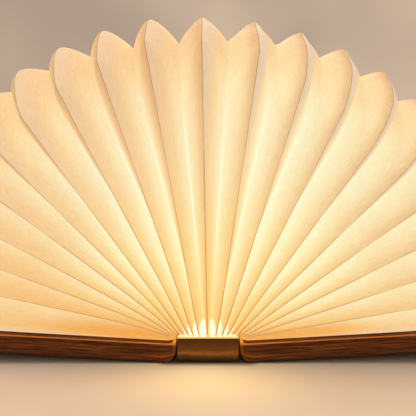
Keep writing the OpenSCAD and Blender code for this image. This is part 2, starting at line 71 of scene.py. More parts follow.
@dataclass(frozen=True)
class BookSizes:
    """Lengths in metres and angles in degrees, the same values as the CAD source names."""

    length: float = 122 * MM
    cover_width: float = 86 * MM
    cover_thickness: float = 4.8 * MM
    tilt_deg: float = 3.4
    edge_radius: float = 3.1 * MM
    corner_radius: float = 4 * MM
    lip_height: float = 1.3 * MM
    lip_run: float = 1.95 * MM
    crest_drop: float = 0.2 * MM
    gap: float = 0.3 * MM
    spine_width: float = 14.4 * MM
    spine_end_y: float = 60.9 * MM
    spine_over_pin: float = 0.1 * MM
    fan_under_pin: float = 0.9 * MM
    page_inset: float = 2 * MM
    fore_inset: float = 1.6 * MM
    root_spread: float = 8.9 * MM
    fold_depth: float = 11 * MM
    fore_depth: float = 6.6 * MM
    lean_deg: float = 1.15
    lean_wave: float = 2.0
    lean_level: float = 0.13
    sag_deg: float = 0.6
    pages_per_side: int = 9
    last_spine_page: int = 5
    seat_lift: float = 0.53 * MM
    cover_page_start: float = 1.4 * MM
    cover_page_step: float = 0.15 * MM
    hinge_room_radius: float = 1.2 * MM
    hinge_room_half: float = 45.7 * MM
    hinge_leaf: float = 0.55 * MM
    hinge_leaf_height: float = 3.65 * MM

    @property
    def tilt(self) -> float:
        """Slope of the open covers, in radians."""
        return math.radians(self.tilt_deg)

    @property
    def board_u(self) -> float:
        """Distance from the hinge pin to a board's hinge end."""
        return self.gap / 2

    @property
    def board_tip(self) -> float:
        """Distance from the hinge pin to a board's fore-edge."""
        return self.board_u + self.cover_width

    @property
    def inner_w(self) -> float:
        """Level of a board's inner face, from the hinge pin."""
        return -self.crest_drop - self.lip_height

    @property
    def outer_w(self) -> float:
        """Level of a board's outer face, from the hinge pin."""
        return self.inner_w - self.cover_thickness

    @property
    def lip_radius(self) -> float:
        """Radius of the lip's hollow: an arc that climbs lip_height over lip_run."""
        return (self.lip_run ** 2 + self.lip_height ** 2) / (2 * self.lip_height)

    @property
    def hinge_x(self) -> float:
        """Distance of a hinge pin from the centre plane."""
        return self.spine_width / 2 + self.board_u

    @property
    def hinge_z(self) -> float:
        """Height of the hinge pins, which lets the boards' rounded heels stand on the floor.

        Returns:
            The height in metres.
        """
        reach = self.board_u + self.edge_radius
        heel = self.outer_w + self.edge_radius
        return self.edge_radius - reach * math.sin(self.tilt) - heel * math.cos(self.tilt)

    @property
    def spine_top(self) -> float:
        """Level of the spine's upper edge."""
        return self.hinge_z + self.spine_over_pin

    @property
    def fan_z(self) -> float:
        """Height of the line that the pages fan out from."""
        return self.hinge_z - self.fan_under_pin

    @property
    def page_y(self) -> float:
        """Half the length of the paper."""
        return self.length / 2 - self.page_inset

    @property
    def page_r(self) -> float:
        """Reach of a page from its root to its fore-edge."""
        return self.hinge_x + self.board_tip - self.fore_inset - self.root_spread

    def page_angle(self, k: int) -> float:
        """Angle of page k from upright: equal steps, with a slight lean and sag.

        Args:
            k: Page number, negative on the left; one past the last lies on the cover.

        Returns:
            The angle in radians, positive to the right.
        """
        flat = 90 - self.tilt_deg
        if abs(k) > self.pages_per_side:
            return math.radians(math.copysign(flat, k))
        plain = k * flat / (self.pages_per_side + 1)
        lean = self.lean_deg * (math.cos(math.radians(self.lean_wave * plain)) - self.lean_level)
        return math.radians(plain - lean + self.sag_deg * math.sin(math.radians(plain)))

    def page_start(self, k: int) -> float:
        """Distance from the fan's line at which page k's paper begins.

        Args:
            k: Page number.

        Returns:
            The distance in metres.
        """
        past_spine = abs(k) - self.last_spine_page
        if past_spine <= 0:
            return self.seat_lift / math.cos(self.page_angle(k))
        return self.cover_page_start - self.cover_page_step * (past_spine - 1)

    def root(self, k: int) -> np.ndarray:
        """Point of the fan's line from which page k rises."""
        return np.array([self.root_spread * math.sin(self.page_angle(k)), 0.0, self.fan_z])

    def direction(self, k: int) -> np.ndarray:
        """Unit vector from the root of page k to its fore-edge."""
        angle = self.page_angle(k)
        return np.array([math.sin(angle), 0.0, math.cos(angle)])

    def across(self, k: int) -> np.ndarray:
        """Unit vector square to page k, towards the right-hand cover."""
        angle = self.page_angle(k)
        return np.array([math.cos(angle), 0.0, -math.sin(angle)])


# ---------------------------------------------------------------- meshes


class MeshMaker:
    """Turns numpy grids of points into Blender objects."""

    @staticmethod
    def grid(name: str, points: np.ndarray, uv: np.ndarray | None = None, wrap: bool = False,
             capped: bool = False, attributes: dict[str, np.ndarray] | None = None) -> bpy.types.Object:
        """Makes an object from a grid of points, one quad between each four neighbours.

        Args:
            name: Object name.
            points: Array of (rows, columns, 3), in metres.
            uv: Optional array of (rows, columns, 2) for a UV map.
            wrap: Joins the last column to the first.
            capped: Closes the first and the last row with one face each.
            attributes: Optional named arrays of (rows, columns) stored on the points.

        Returns:
            The new object, at the origin.
        """
        rows, cols = points.shape[:2]
        index = np.arange(rows * cols).reshape(rows, cols)
        after = np.roll(index, -1, axis=1) if wrap else index[:, 1:]
        here = index if wrap else index[:, :-1]
        quads = np.stack([here[:-1], after[:-1], after[1:], here[1:]], axis=-1).reshape(-1, 4)
        faces = quads.tolist()
        if capped:
            faces += [index[0, ::-1].tolist(), index[-1].tolist()]
        mesh = bpy.data.meshes.new(name)
        mesh.from_pydata(points.reshape(-1, 3).tolist(), [], faces)
        loops = np.empty(len(mesh.loops), dtype=np.int64)
        mesh.loops.foreach_get("vertex_index", loops)
        if uv is not None:
            layer = mesh.uv_layers.new(name="sheet")
            layer.data.foreach_set("uv", uv.reshape(-1, 2)[loops].astype(np.float32).ravel())
        for key, values in (attributes or {}).items():
            layer = mesh.attributes.new(key, "FLOAT", "POINT")
            layer.data.foreach_set("value", values.astype(np.float32).ravel())
        mesh.update()
        made = bpy.data.objects.new(name, mesh)
        bpy.context.scene.collection.objects.link(made)
        return made

    @staticmethod
    def smooth(piece: bpy.types.Object, angle_deg: float = 180.0) -> None:
        """Shades a piece smooth, but for edges sharper than an angle.

        Args:
            piece: The mesh object.
            angle_deg: Edges that turn more than this stay sharp.
        """
        mesh = piece.data
        mesh.polygons.foreach_set("use_smooth", np.ones(len(mesh.polygons), dtype=bool))
        if angle_deg < 180:
            mesh.set_sharp_from_angle(angle=math.radians(angle_deg))
        mesh.update()


# ---------------------------------------------------------------- finishes


def linear(red: int, green: int, blue: int) -> tuple:
    """Turns a colour written as 0 to 255 display values into linear numbers.

    Args:
        red: Red, 0 to 255.
        green: Green, 0 to 255.
        blue: Blue, 0 to 255.

    Returns:
        The three linear numbers.
    """
    parts = np.array([red, green, blue]) / 255
    return tuple(np.where(parts <= 0.04045, parts / 12.92, ((parts + 0.055) / 1.055) ** 2.4).tolist())


class Nodes:
    """A node tree under construction, with short calls for its nodes."""

    def __init__(self, tree: bpy.types.NodeTree) -> None:
        """Takes the tree that the nodes go into.

        Args:
            tree: The node tree.
        """
        self.tree = tree

    def feed(self, target: Socket, value: Number | Colour) -> None:
        """Links a socket to an input, or gives the input a constant.

        Args:
            target: The input.
            value: A socket or a constant.
        """
        if isinstance(value, Socket):
            self.tree.links.new(value, target)
        else:
            target.default_value = value

    def node(self, kind: str, values: dict | None = None, **props: str | bool) -> bpy.types.Node:
        """Adds a node.

        Args:
            kind: Blender's node type.
            values: Constants or sockets for its inputs, by name or number.
            props: Properties of the node itself.

        Returns:
            The node.
        """
        made = self.tree.nodes.new(kind)
        for key, value in props.items():
            setattr(made, key, value)
        for key, value in (values or {}).items():
            self.feed(made.inputs[key], value)
        return made

    def vector(self, x: Number, y: Number, z: Number) -> Socket:
        """Joins three numbers into a vector."""
        return self.node("ShaderNodeCombineXYZ", {0: x, 1: y, 2: z}).outputs[0]

    def axes(self, vector: Socket) -> tuple:
        """Splits a vector into its three numbers."""
        return tuple(self.node("ShaderNodeSeparateXYZ", {0: vector}).outputs)

    def noise(self, vector: Socket, scale: float, detail: float, rough: float,
              warp: float = 0.0) -> Socket:
        """Fractal noise.

        Args:
            vector: Where the noise is read.
            scale: Cycles per unit of the vector.
            detail: Number of finer layers.
            rough: How much the finer layers count.
            warp: How far the pattern is bent by itself.

        Returns:
            A number socket, 0 to 1.
        """
        values = {"Vector": vector, "Scale": scale, "Detail": detail, "Roughness": rough,
                  "Distortion": warp}
        return self.node("ShaderNodeTexNoise", values).outputs["Fac"]

    def math(self, kind: str, a: Number, b: Number = 0.0, clamp: bool = False) -> Socket:
        """One step of arithmetic on two numbers, held from 0 to 1 if clamp is set."""
        return self.node("ShaderNodeMath", {0: a, 1: b}, operation=kind, use_clamp=clamp).outputs[0]

    def times(self, *numbers: Number) -> Socket:
        """The product of all the numbers."""
        return reduce(lambda a, b: self.math("MULTIPLY", a, b), numbers)

    def plus(self, a: Number, b: Number, clamp: bool = False) -> Socket:
        """The sum of two numbers."""
        return self.math("ADD", a, b, clamp)

    def minus(self, a: Number, b: Number, clamp: bool = False) -> Socket:
        """The first number less the second."""
        return self.math("SUBTRACT", a, b, clamp)

    def most(self, *numbers: Number) -> Socket:
        """The largest of all the numbers."""
        return reduce(lambda a, b: self.math("MAXIMUM", a, b), numbers)

    def unsigned(self, value: Socket) -> Socket:
        """A number without its sign."""
        return self.math("ABSOLUTE", value)

    def remap(self, value: Socket, low: float, high: float, to_low: float = 0.0, to_high: float = 1.0,
              smooth: bool = False) -> Socket:
        """Stretches the range from low to high onto another one, and holds it at the ends.

        Args:
            value: The number to stretch.
            low: Value that becomes to_low.
            high: Value that becomes to_high.
            to_low: Result at low.
            to_high: Result at high.
            smooth: Eases in and out, where the plain way is straight.

        Returns:
            The new number's socket.
        """
        values = {"Value": value, "From Min": low, "From Max": high, "To Min": to_low, "To Max": to_high}
        kind = "SMOOTHSTEP" if smooth else "LINEAR"
        return self.node("ShaderNodeMapRange", values, interpolation_type=kind).outputs[0]

    def rise(self, value: Socket, low: float, high: float, top: float = 1.0) -> Socket:
        """Climbs smoothly from 0 at low to top at high."""
        return self.remap(value, low, high, 0.0, top, True)

    def fall(self, value: Socket, low: float, high: float, top: float = 1.0) -> Socket:
        """Drops smoothly from top at low to 0 at high."""
        return self.remap(value, low, high, top, 0.0, True)

    def ramp(self, value: Socket, stops: tuple) -> Socket:
        """Colours by value.

        Args:
            value: The number that picks the colour.
            stops: Pairs of a value and its linear colour, in rising order.

        Returns:
            The colour socket.
        """
        made = self.node("ShaderNodeValToRGB", {"Fac": value})
        elements = made.color_ramp.elements
        while len(elements) < len(stops):
            elements.new(0.5)
        for element, (place, colour) in zip(elements, stops):
            element.position = place
            element.color = (*colour, 1.0)
        return made.outputs["Color"]

    def curve(self, value: Socket, stops: tuple) -> Socket:
        """A number by value, straight between its stops, which are pairs of a value and a number."""
        return self.ramp(value, tuple((place, (level,) * 3) for place, level in stops))

    def mix(self, factor: Number, a: Colour, b: Colour, kind: str = "MIX") -> Socket:
        """Blends two colours.

        Args:
            factor: 0 for the first colour, 1 for the second one's full effect.
            a: First colour.
            b: Second colour.
            kind: Blender's name of the blend.

        Returns:
            The colour socket.
        """
        made = self.node("ShaderNodeMix", {0: factor}, data_type="RGBA", blend_type=kind,
                         clamp_factor=True)
        for key, value in ((6, a), (7, b)):
            self.feed(made.inputs[key], value if isinstance(value, Socket) else (*value, 1.0))
        return made.outputs[2]

    def scaled(self, colour: Colour, share: Socket) -> Socket:
        """A colour times a number."""
        grey = self.node("ShaderNodeCombineColor", {0: share, 1: share, 2: share}).outputs[0]
        return self.mix(1.0, colour, grey, "MULTIPLY")


class Shader(Nodes):
    """A material under construction, around one Principled surface."""

    def __init__(self, name: str) -> None:
        """Starts the material.

        Args:
            name: Material name.
        """
        self.material = bpy.data.materials.new(name)
        self.material.use_nodes = True
        super().__init__(self.material.node_tree)
        self.surface = self.tree.nodes["Principled BSDF"]

    def set(self, **sockets: Number | Colour) -> None:
        """Sets or links the surface's inputs, named with underscores for spaces."""
        for key, value in sockets.items():
            self.feed(self.surface.inputs[key.replace("_", " ")], value)

    def place(self) -> Socket:
        """Object coordinates, in metres."""
        return self.node("ShaderNodeTexCoord").outputs["Object"]

    def position(self, turn: tuple = (0, 0, 0), scale: tuple = (1, 1, 1)) -> Socket:
        """Object coordinates turned by angles in radians and scaled per axis."""
        values = {"Vector": self.place(), "Rotation": turn, "Scale": scale}
        return self.node("ShaderNodeMapping", values).outputs[0]

    def sheet(self, scale: tuple = (1, 1, 1), turn: float = 0.0) -> Socket:
        """The piece's UV map, turned in its plane and scaled.

        Args:
            scale: Scale per axis.
            turn: Angle in radians.

        Returns:
            The vector socket, in metres before it is scaled.
        """
        coords = self.node("ShaderNodeUVMap", uv_map="sheet").outputs[0]
        values = {"Vector": coords, "Rotation": (0, 0, turn), "Scale": scale}
        return self.node("ShaderNodeMapping", values).outputs[0]

    def attribute(self, name: str) -> Socket:
        """A number stored on the mesh's points."""
        return self.node("ShaderNodeAttribute", attribute_name=name).outputs["Fac"]

    def bump(self, height: Socket, distance: float, strength: float) -> None:
        """Gives the surface relief from a height, over a distance in metres."""
        made = self.node("ShaderNodeBump", {"Height": height, "Distance": distance, "Strength": strength})
        self.set(Normal=made.outputs[0])


@dataclass(frozen=True)
class Walnut:
    """Oiled walnut with its grain along X, with the shade's light on the strip it reaches painted in as a
    glow.
    """

    name: str
    side: Side
    sizes: BookSizes
    tones: tuple = ((0.36, linear(40, 17, 3)), (0.45, linear(84, 41, 8)),
                    (0.54, linear(114, 60, 15)), (0.66, linear(150, 86, 28)))
    band_stretch: tuple = (0.035, 0.5)
    pore_stretch: tuple = (0.06, 0.7)
    gloss: float = 0.16
    heel_sweep: float = 0.65
    heel_share: float = 1.3
    rim_light: tuple = linear(255, 132, 34)
    lip_light: tuple = linear(255, 160, 52)
    light: float = 0.85

    def material(self) -> bpy.types.Material:
        """Builds the wood: long bands of tone, thin dark pore lines, a satin oil sheen and painted shade
        along the foot.

        Returns:
            The material.
        """
        s = Shader(self.name)
        u, w, y = self.on_board(s)
        laid = self.level(s, u, w)
        long = s.vector(s.times(u, self.band_stretch[0]), s.times(y, self.band_stretch[1]), laid)
        short = s.vector(s.times(u, self.pore_stretch[0]), s.times(y, self.pore_stretch[1]), laid)
        bands = s.noise(long, 700, 4, 0.6, 0.5)
        fine = s.noise(long, 2300, 3, 0.65, 0.3)
        pores = s.noise(short, 3400, 2, 0.6)
        figure = s.plus(s.times(bands, 0.5), s.times(fine, 0.5))
        dark = s.remap(pores, 0.36, 0.52, 0.36, 1.0)
        # Painted shade: the wood darkens towards its bottom face, standing for the shadow under the board's
        # foot.
        foot = s.remap(w, self.sizes.outer_w + 0.1 * MM, self.sizes.outer_w + 1.1 * MM, 0.1, 1.0, True)
        colour = s.scaled(s.ramp(figure, self.tones), s.times(dark, foot))
        s.set(Base_Color=colour, Roughness=s.remap(bands, 0.3, 0.7, 0.46, 0.62),
              Specular_IOR_Level=self.gloss)
        s.bump(s.plus(s.times(figure, 0.5), dark), 0.06 * MM, 0.5)
        self.add_painted_light(s, colour, u, w, y)
        return s.material

    def on_board(self, s: Shader) -> tuple:
        """Where a point lies on the board: u out from the hinge pin, w up from it, and y along the spine.

        Args:
            s: The material being built.

        Returns:
            Three number sockets, in metres.
        """
        cos, sin = math.cos(self.sizes.tilt), math.sin(self.sizes.tilt)
        x, y, z = s.axes(s.place())
        out = s.minus(s.times(x, float(self.side.value)), self.sizes.hinge_x)
        up = s.minus(z, self.sizes.hinge_z)
        u = s.plus(s.times(out, cos), s.times(up, sin))
        w = s.minus(s.times(up, cos), s.times(out, sin))
        return u, w, y

    def level(self, s: Shader, u: Socket, w: Socket) -> Socket:
        """Level of the grain at a point, which bends the bands down round the heel: w less heel_sweep times
        the square of how far u lies inside the heel, over the edge radius, fading out above the foot.

        Args:
            s: The material being built.
            u: Distance out from the hinge pin.
            w: Height from the hinge pin.

        Returns:
            The level's socket, in metres.
        """
        z = self.sizes
        into = s.most(s.minus(z.board_u + z.edge_radius, u), 0.0)
        sweep = s.times(into, into, self.heel_sweep / z.edge_radius)
        near_foot = s.remap(w, z.outer_w, z.outer_w + self.heel_share * z.edge_radius, 1.0, 0.0)
        return s.minus(w, s.times(sweep, near_foot))

    def add_painted_light(self, s: Shader, colour: Socket, u: Socket, w: Socket, y: Socket) -> None:
        """Paints the light that the shade throws on the wood as a glow: the inner face's rim at both ends
        of the book, the lip by the spine and the hinge end.

        Args:
            s: The material being built.
            colour: The wood's own colour.
            u: Distance out from the hinge pin.
            w: Height from the hinge pin.
            y: Place along the spine.
        """
        z = self.sizes
        half = z.length / 2
        # Painted light: the wood glows where the shade's light falls on it, and faintly near the hinge end.
        edge = s.rise(s.unsigned(y), half - 0.5 * MM, half - 0.3 * MM)
        face = s.rise(w, z.inner_w - 0.16 * MM, z.inner_w - 0.04 * MM)
        rim = s.times(face, edge, s.remap(u, 2 * MM, 70 * MM, 0.8, 0.38))
        lip = s.rise(w, z.inner_w + 0.15 * MM, z.inner_w + 0.7 * MM)
        heel = s.times(s.fall(u, 0.2 * MM, 1.1 * MM, 0.2), s.rise(w, z.outer_w + 1.5 * MM, z.inner_w))
        near_spine = s.fall(u, 1.0 * MM, 9.0 * MM, 0.03)
        strength = s.plus(s.most(rim, lip, heel), near_spine)
        glow = s.mix(s.times(lip, 0.85), s.mix(0.3, self.rim_light, colour), self.lip_light)
        s.set(Emission_Color=glow, Emission_Strength=s.times(strength, self.light))


@dataclass(frozen=True)
class AgedBronze:
    """Bronze lacquer gone brown, finely brushed, with blotches of patina."""

    name: str
    dark: tuple = linear(70, 38, 15)
    light: tuple = linear(138, 84, 36)
    rough: float = 0.42

    def material(self) -> bpy.types.Material:
        """Builds the metal: brushed streaks and blotches of patina.

        Returns:
            The material.
        """
        s, blend = self.base()
        s.set(Base_Color=s.mix(blend, self.dark, self.light))
        return s.material

    def base(self) -> tuple:
        """Starts the metal.

        Returns:
            The shader and its blend of streaks and patina, 0 dark to 1 light.
        """
        s = Shader(self.name)
        streaks = s.noise(s.position(scale=(0.05, 0.05, 1.0)), 5200, 3, 0.6)
        patina = s.noise(s.position(scale=(1.0, 1.0, 1.8)), 420, 4, 0.6, 0.6)
        blend = s.plus(s.times(streaks, 0.4), s.times(patina, 0.6))
        s.set(Metallic=0.7, Roughness=s.remap(patina, 0.3, 0.7, self.rough - 0.08, self.rough + 0.12))
        s.bump(streaks, 0.02 * MM, 0.4)
        return s, s.remap(blend, 0.36, 0.66)


@dataclass(frozen=True)
class SpineBronze(AgedBronze):
    """The spine's bronze: painted reflection in level bands, painted light on the upper edge and inside the
    channel's top.
    """

    sizes: BookSizes = BookSizes()
    painted_reflection_bands: tuple = ((0.08, linear(52, 29, 10)), (0.26, linear(96, 60, 22)), (0.4, linear(152, 104, 46)),
                     (0.52, linear(112, 72, 28)), (0.75, linear(98, 61, 22)), (0.97, linear(78, 46, 16)))
    half_width: float = 8.0
    middle_dark: float = 0.4
    first_light: float = 0.65
    shadows: tuple = (1.95, 3.35, 4.5, 5.65)
    shadow_core: float = 0.08
    shadow_half: float = 0.3
    last_light: float = 6.3
    last_fade: float = 0.5
    wall_light: float = 0.85

    def material(self) -> bpy.types.Material:
        """Builds the metal: painted reflection, dark along the top and the foot with a light band between,
        and painted light along the upper edge and inside.

        Returns:
            The material.
        """
        s, blend = self.base()
        x, y, z = s.axes(s.place())
        top = self.sizes.spine_top
        # Painted reflection: level bands of colour, dark at the foot and the top with a light band between,
        # stand for the floor seen in the metal.
        sway = s.times(s.minus(s.noise(s.position(), 260, 2, 0.5), 0.5), 1.2 * MM)
        level = s.ramp(s.math("DIVIDE", s.plus(z, sway), top), self.painted_reflection_bands)
        s.set(Base_Color=s.scaled(level, s.remap(blend, 0.0, 1.0, 0.72, 1.28)))
        side = s.unsigned(x)
        from_end = s.minus(self.sizes.spine_end_y, s.unsigned(y))
        # Painted light: the upper edge and the channel's inner walls glow with the shade's light, crossed
        # by painted shadows of the pages' roots.
        edge = s.rise(z, top - 0.09 * MM, top - 0.03 * MM)
        half = self.sizes.spine_width / 2
        inside = s.times(s.remap(side, half - 0.05 * MM, half - 0.1 * MM),
                         s.remap(z, top - 1.6 * MM, top - MM), s.remap(from_end, 1.2 * MM, 1.3 * MM))
        between = s.curve(s.math("DIVIDE", side, self.half_width * MM), self.stripes())
        bright = s.times(between, s.rise(from_end, 0.35 * MM, 0.75 * MM))
        lit = s.mix(s.rise(from_end, 0.0, 0.5 * MM), linear(255, 178, 66), linear(254, 214, 128))
        lit = s.mix(bright, lit, linear(255, 250, 210))
        s.set(Emission_Color=lit, Emission_Strength=s.most(edge, s.times(inside, self.wall_light)))
        return s.material

    def stripes(self) -> tuple:
        """Painted light on the upper edge by distance from the middle: bright, but for the painted shadows
        of the pages' roots.

        Returns:
            Pairs of a distance, as a share of half_width, and a level.
        """
        core, half = self.shadow_core, self.shadow_half
        rows = [(0.0, 0.0), (self.middle_dark, 0.0), (self.first_light, 1.0)]
        for at in self.shadows:
            rows += [(at - half, 1.0), (at - core, 0.0), (at + core, 0.0), (at + half, 1.0)]
        rows += [(self.last_light, 1.0), (self.last_light + self.last_fade, 0.0)]
        return tuple((place / self.half_width, value) for place, value in rows)


@dataclass(frozen=True)
class Spot:
    """Where a point lies on the shade, as number sockets.

    turn runs across a page, -1 and 1 in the valleys and 0 on the ridge, and fold is its size. reach runs
    out from the root to 1 at the fore-edge. page is a tenth of the page number, and away its size. facing
    is above 0 where a panel faces away from the middle of the fan.
    """

    turn: Socket
    fold: Socket
    reach: Socket
    page: Socket
    away: Socket
    facing: Socket

    @classmethod
    def read(cls, s: Shader) -> "Spot":
        """Reads the values that the sheets' meshes carry.

        Args:
            s: The material being built.

        Returns:
            The spot.
        """
        turn, reach, page = s.attribute("turn"), s.attribute("reach"), s.attribute("page")
        return cls(turn, s.unsigned(turn), reach, page, s.unsigned(page), s.times(turn, page))


@dataclass(frozen=True)
class GlowPaper:
    """Spunbond paper lit from inside: hottest at the roots, bright in its folds, dim and thin along its
    ridges."""

    name: str
    sizes: BookSizes
    body: float = 0.22
    glow: float = 0.8
    matt: float = 0.1
    ridge_level: tuple = ((0.04, 0.2), (0.12, 0.24), (0.24, 0.26), (0.42, 0.26), (0.6, 0.28),
                          (0.75, 0.22), (0.88, 0.08), (1.0, 0.02))
    fold_gain: tuple = ((0.04, 0.62), (0.12, 0.64), (0.24, 0.68), (0.42, 0.72), (0.6, 0.74),
                        (0.72, 0.7), (0.84, 0.3), (1.0, 0.2))
    near_tones: tuple = ((0.0, linear(252, 203, 126)), (0.25, linear(253, 212, 139)),
                         (0.5, linear(254, 225, 158)), (0.75, linear(255, 237, 179)),
                         (1.0, linear(255, 248, 202)))
    far_tones: tuple = ((0.0, linear(239, 193, 143)), (0.25, linear(251, 215, 163)),
                        (0.5, linear(255, 228, 176)), (0.8, linear(255, 242, 198)),
                        (1.0, linear(255, 250, 214)))
    root_tint: tuple = linear(255, 249, 232)
    painted_shade_colour: tuple = linear(243, 190, 126)
    amber: tuple = linear(248, 180, 90)
    amber_fold: tuple = linear(255, 212, 138)
    deep_amber: tuple = linear(244, 166, 66)
    crease_light: tuple = linear(255, 253, 224)
    brown: tuple = linear(222, 174, 118)
    pale: tuple = linear(232, 208, 180)
    crease_tones: tuple = ((0.0, linear(214, 118, 44)), (0.15, linear(232, 164, 98)),
                           (0.4, linear(214, 162, 112)), (0.8, linear(160, 122, 86)))
    low_crease: tuple = linear(198, 164, 130)
    rim: tuple = linear(240, 214, 178)
    white_hot: tuple = (1.08, 1.0, 0.66)
    tongue_top: float = 1.75
    tongue_fold: float = 0.3
    tongue_narrowing: float = 7.0

    def material(self) -> bpy.types.Material:
        """Builds the paper: tone by place, ridges with painted shade and light beside them and along their
        creases, a painted highlight on the end pages' rims, white-hot roots and laid threads.

        Returns:
            The material.
        """
        s = Shader(self.name)
        at = Spot.read(s)
        fibre = self.fibres(s)
        tone = self.aged(s, self.toned(s, at), at)
        tone = self.painted_crease_shade(s, self.painted_ridge_light(s, tone, at), at)
        tone = self.heated(s, self.painted_rim_highlight(s, tone, at), at)
        tone = s.scaled(tone, s.remap(fibre, 0.32, 0.68, 0.91, 1.07))
        s.set(Base_Color=s.mix(1.0, tone, (self.body,) * 3, "MULTIPLY"), Roughness=0.75,
              Specular_IOR_Level=self.matt, Emission_Color=tone, Emission_Strength=self.glow)
        s.bump(fibre, 0.03 * MM, 0.6)
        return s.material

    def level(self, s: Shader, at: Spot) -> Socket:
        """How bright the paper glows, 0 to 1: ridge_level(reach) plus fold to a power times
        fold_gain(reach), with more gain by the roots of the low pages, less light in the middle of the
        fan and on panels that face away, and a soft cloud over the whole.

        Args:
            s: The material being built.
            at: Where the point lies.

        Returns:
            The number's socket.
        """
        low_pages = s.times(s.remap(at.away, 0.12, 0.7), s.fall(at.reach, 0.22, 0.5, 2.6))
        gain = s.times(s.curve(at.reach, self.fold_gain), s.plus(1.0, low_pages))
        power = s.remap(at.reach, 0.25, 0.5, 1.0, 0.8, True)
        from_fold = s.times(s.math("POWER", at.fold, power), gain)
        level = s.plus(s.curve(at.reach, self.ridge_level), from_fold, True)
        level = s.minus(level, s.fall(at.away, 0.05, 0.16, 0.09))
        outward = s.times(s.remap(at.facing, -0.001, 0.001), s.remap(at.fold, 0.4, 1.0, 1.0, 0.0))
        level = s.minus(level, s.times(outward, s.fall(at.reach, 0.16, 0.42, 0.12)))
        cloud = s.minus(s.noise(s.sheet(), 240, 4, 0.6), 0.5)
        return s.plus(level, s.times(cloud, 0.26), True)

    def toned(self, s: Shader, at: Spot) -> Socket:
        """The glow's colour: its level read on a near and a far scale, blended by reach.

        Args:
            s: The material being built.
            at: Where the point lies.

        Returns:
            The colour socket.
        """
        level = self.level(s, at)
        near = s.ramp(level, self.near_tones)
        near = s.mix(s.fall(at.reach, 0.05, 0.22), near, self.root_tint, "MULTIPLY")
        return s.mix(s.rise(at.reach, 0.22, 0.55), near, s.ramp(level, self.far_tones))

    def aged(self, s: Shader, tone: Socket, at: Spot) -> Socket:
        """Paints a brownish shade on the outer paper, most beside the ridges and on the left, turns the low
        pages amber, deepest beside the covers, and paints a bright streak where light shows through a
        valley's crease.

        Args:
            s: The material being built.
            tone: The colour so far.
            at: Where the point lies.

        Returns:
            The new colour.
        """
        # Painted shade: a browner tone beside the ridges of the outer paper, strongest on the left pages.
        warm = s.times(s.remap(at.page, -0.1, 0.1, 0.62, 0.12, True),
                       s.remap(at.fold, 0.25, 0.8, 1.0, 0.45, True), s.remap(at.reach, 0.25, 0.75))
        tone = s.mix(warm, tone, self.painted_shade_colour)
        low = s.times(s.rise(at.away, 0.45, 0.98), s.remap(at.page, -0.1, 0.1, 0.5, 0.22),
                      s.remap(at.reach, 0.02, 0.3, 0.7, 1.0))
        tone = s.mix(low, tone, s.mix(at.fold, self.amber, self.amber_fold))
        deep = s.times(s.remap(at.away, 0.86, 0.98), s.fall(at.reach, 0.2, 0.5, 0.75),
                       s.remap(at.fold, 0.2, 0.7, 1.0, 0.12, True))
        tone = s.mix(deep, tone, self.deep_amber)
        streak = s.times(s.rise(at.fold, 0.9, 0.985), s.rise(at.reach, 0.12, 0.3),
                         s.fall(at.reach, 0.5, 0.72, 0.9))
        return s.mix(streak, tone, self.crease_light)

    def painted_ridge_light(self, s: Shader, tone: Socket, at: Spot) -> Socket:
        """Paints light and shade beside a ridge: painted shade turns the left panel golden brown, and
        painted cool light turns the right one pale.

        Args:
            s: The material being built.
            tone: The colour so far.
            at: Where the point lies.

        Returns:
            The new colour.
        """
        is_right = s.math("GREATER_THAN", at.turn, 0.0)
        brown = s.times(s.fall(at.fold, 0.0, 0.45), s.remap(at.reach, 0.3, 0.9),
                        s.minus(1.0, is_right), 0.75)
        tone = s.mix(brown, tone, self.brown)
        width = s.remap(at.reach, 0.4, 0.95, 0.1, 0.7)
        cool = s.minus(1.0, s.math("DIVIDE", at.fold, width), True)
        cool = s.times(s.math("POWER", cool, 0.6), s.rise(at.reach, 0.35, 0.8, 0.75),
                       s.remap(at.page, -0.1, 0.1, 0.8, 1.3, True), is_right)
        return s.mix(cool, tone, self.pale)

    def painted_crease_shade(self, s: Shader, tone: Socket, at: Spot) -> Socket:
        """Paints a thin line of shade along each ridge's crease, but not on the end pages.

        Args:
            s: The material being built.
            tone: The colour so far.
            at: Where the point lies.

        Returns:
            The new colour.
        """
        low = s.remap(at.away, 0.45, 0.65, 0.0, 0.8)
        line = s.mix(low, s.ramp(at.reach, self.crease_tones), self.low_crease)
        crease = s.times(s.fall(at.fold, 0.006, 0.018, 0.85), s.remap(at.away, 0.92, 0.98, 1.0, 0.0))
        return s.mix(crease, tone, line)

    def painted_rim_highlight(self, s: Shader, tone: Socket, at: Spot) -> Socket:
        """Paints a pale highlight on the end pages' rolled rim, which widens with reach.

        Args:
            s: The material being built.
            tone: The colour so far.
            at: Where the point lies.

        Returns:
            The new colour.
        """
        width = s.remap(at.reach, 0.1, 0.95, 0.02, 0.3)
        rim = s.minus(1.0, s.math("DIVIDE", at.fold, width), True)
        rim = s.times(s.math("POWER", rim, 0.6), s.remap(at.away, 0.92, 0.98),
                      s.remap(at.reach, 0.0, 0.5, 0.3, 1.0), 0.8)
        return s.mix(rim, tone, self.rim)

    def heated(self, s: Shader, tone: Socket, at: Spot) -> Socket:
        """White-hot tongues over the lamps, on the upper pages' panels that face the middle: radius in
        millimetres below tongue_top less tongue_narrowing times the square of (fold - tongue_fold).

        Args:
            s: The material being built.
            tone: The colour so far.
            at: Where the point lies.

        Returns:
            The new colour.
        """
        off = s.minus(at.fold, self.tongue_fold)
        top = s.minus(self.tongue_top, s.times(off, off, self.tongue_narrowing))
        below = s.minus(top, s.times(at.reach, self.sizes.page_r / MM))
        hot = s.times(s.rise(below, -0.3, 0.3), s.rise(at.fold, 0.04, 0.14),
                      s.math("LESS_THAN", at.facing, -0.0001), s.remap(at.away, 0.46, 0.56, 1.0, 0.0))
        return s.mix(hot, tone, self.white_hot)

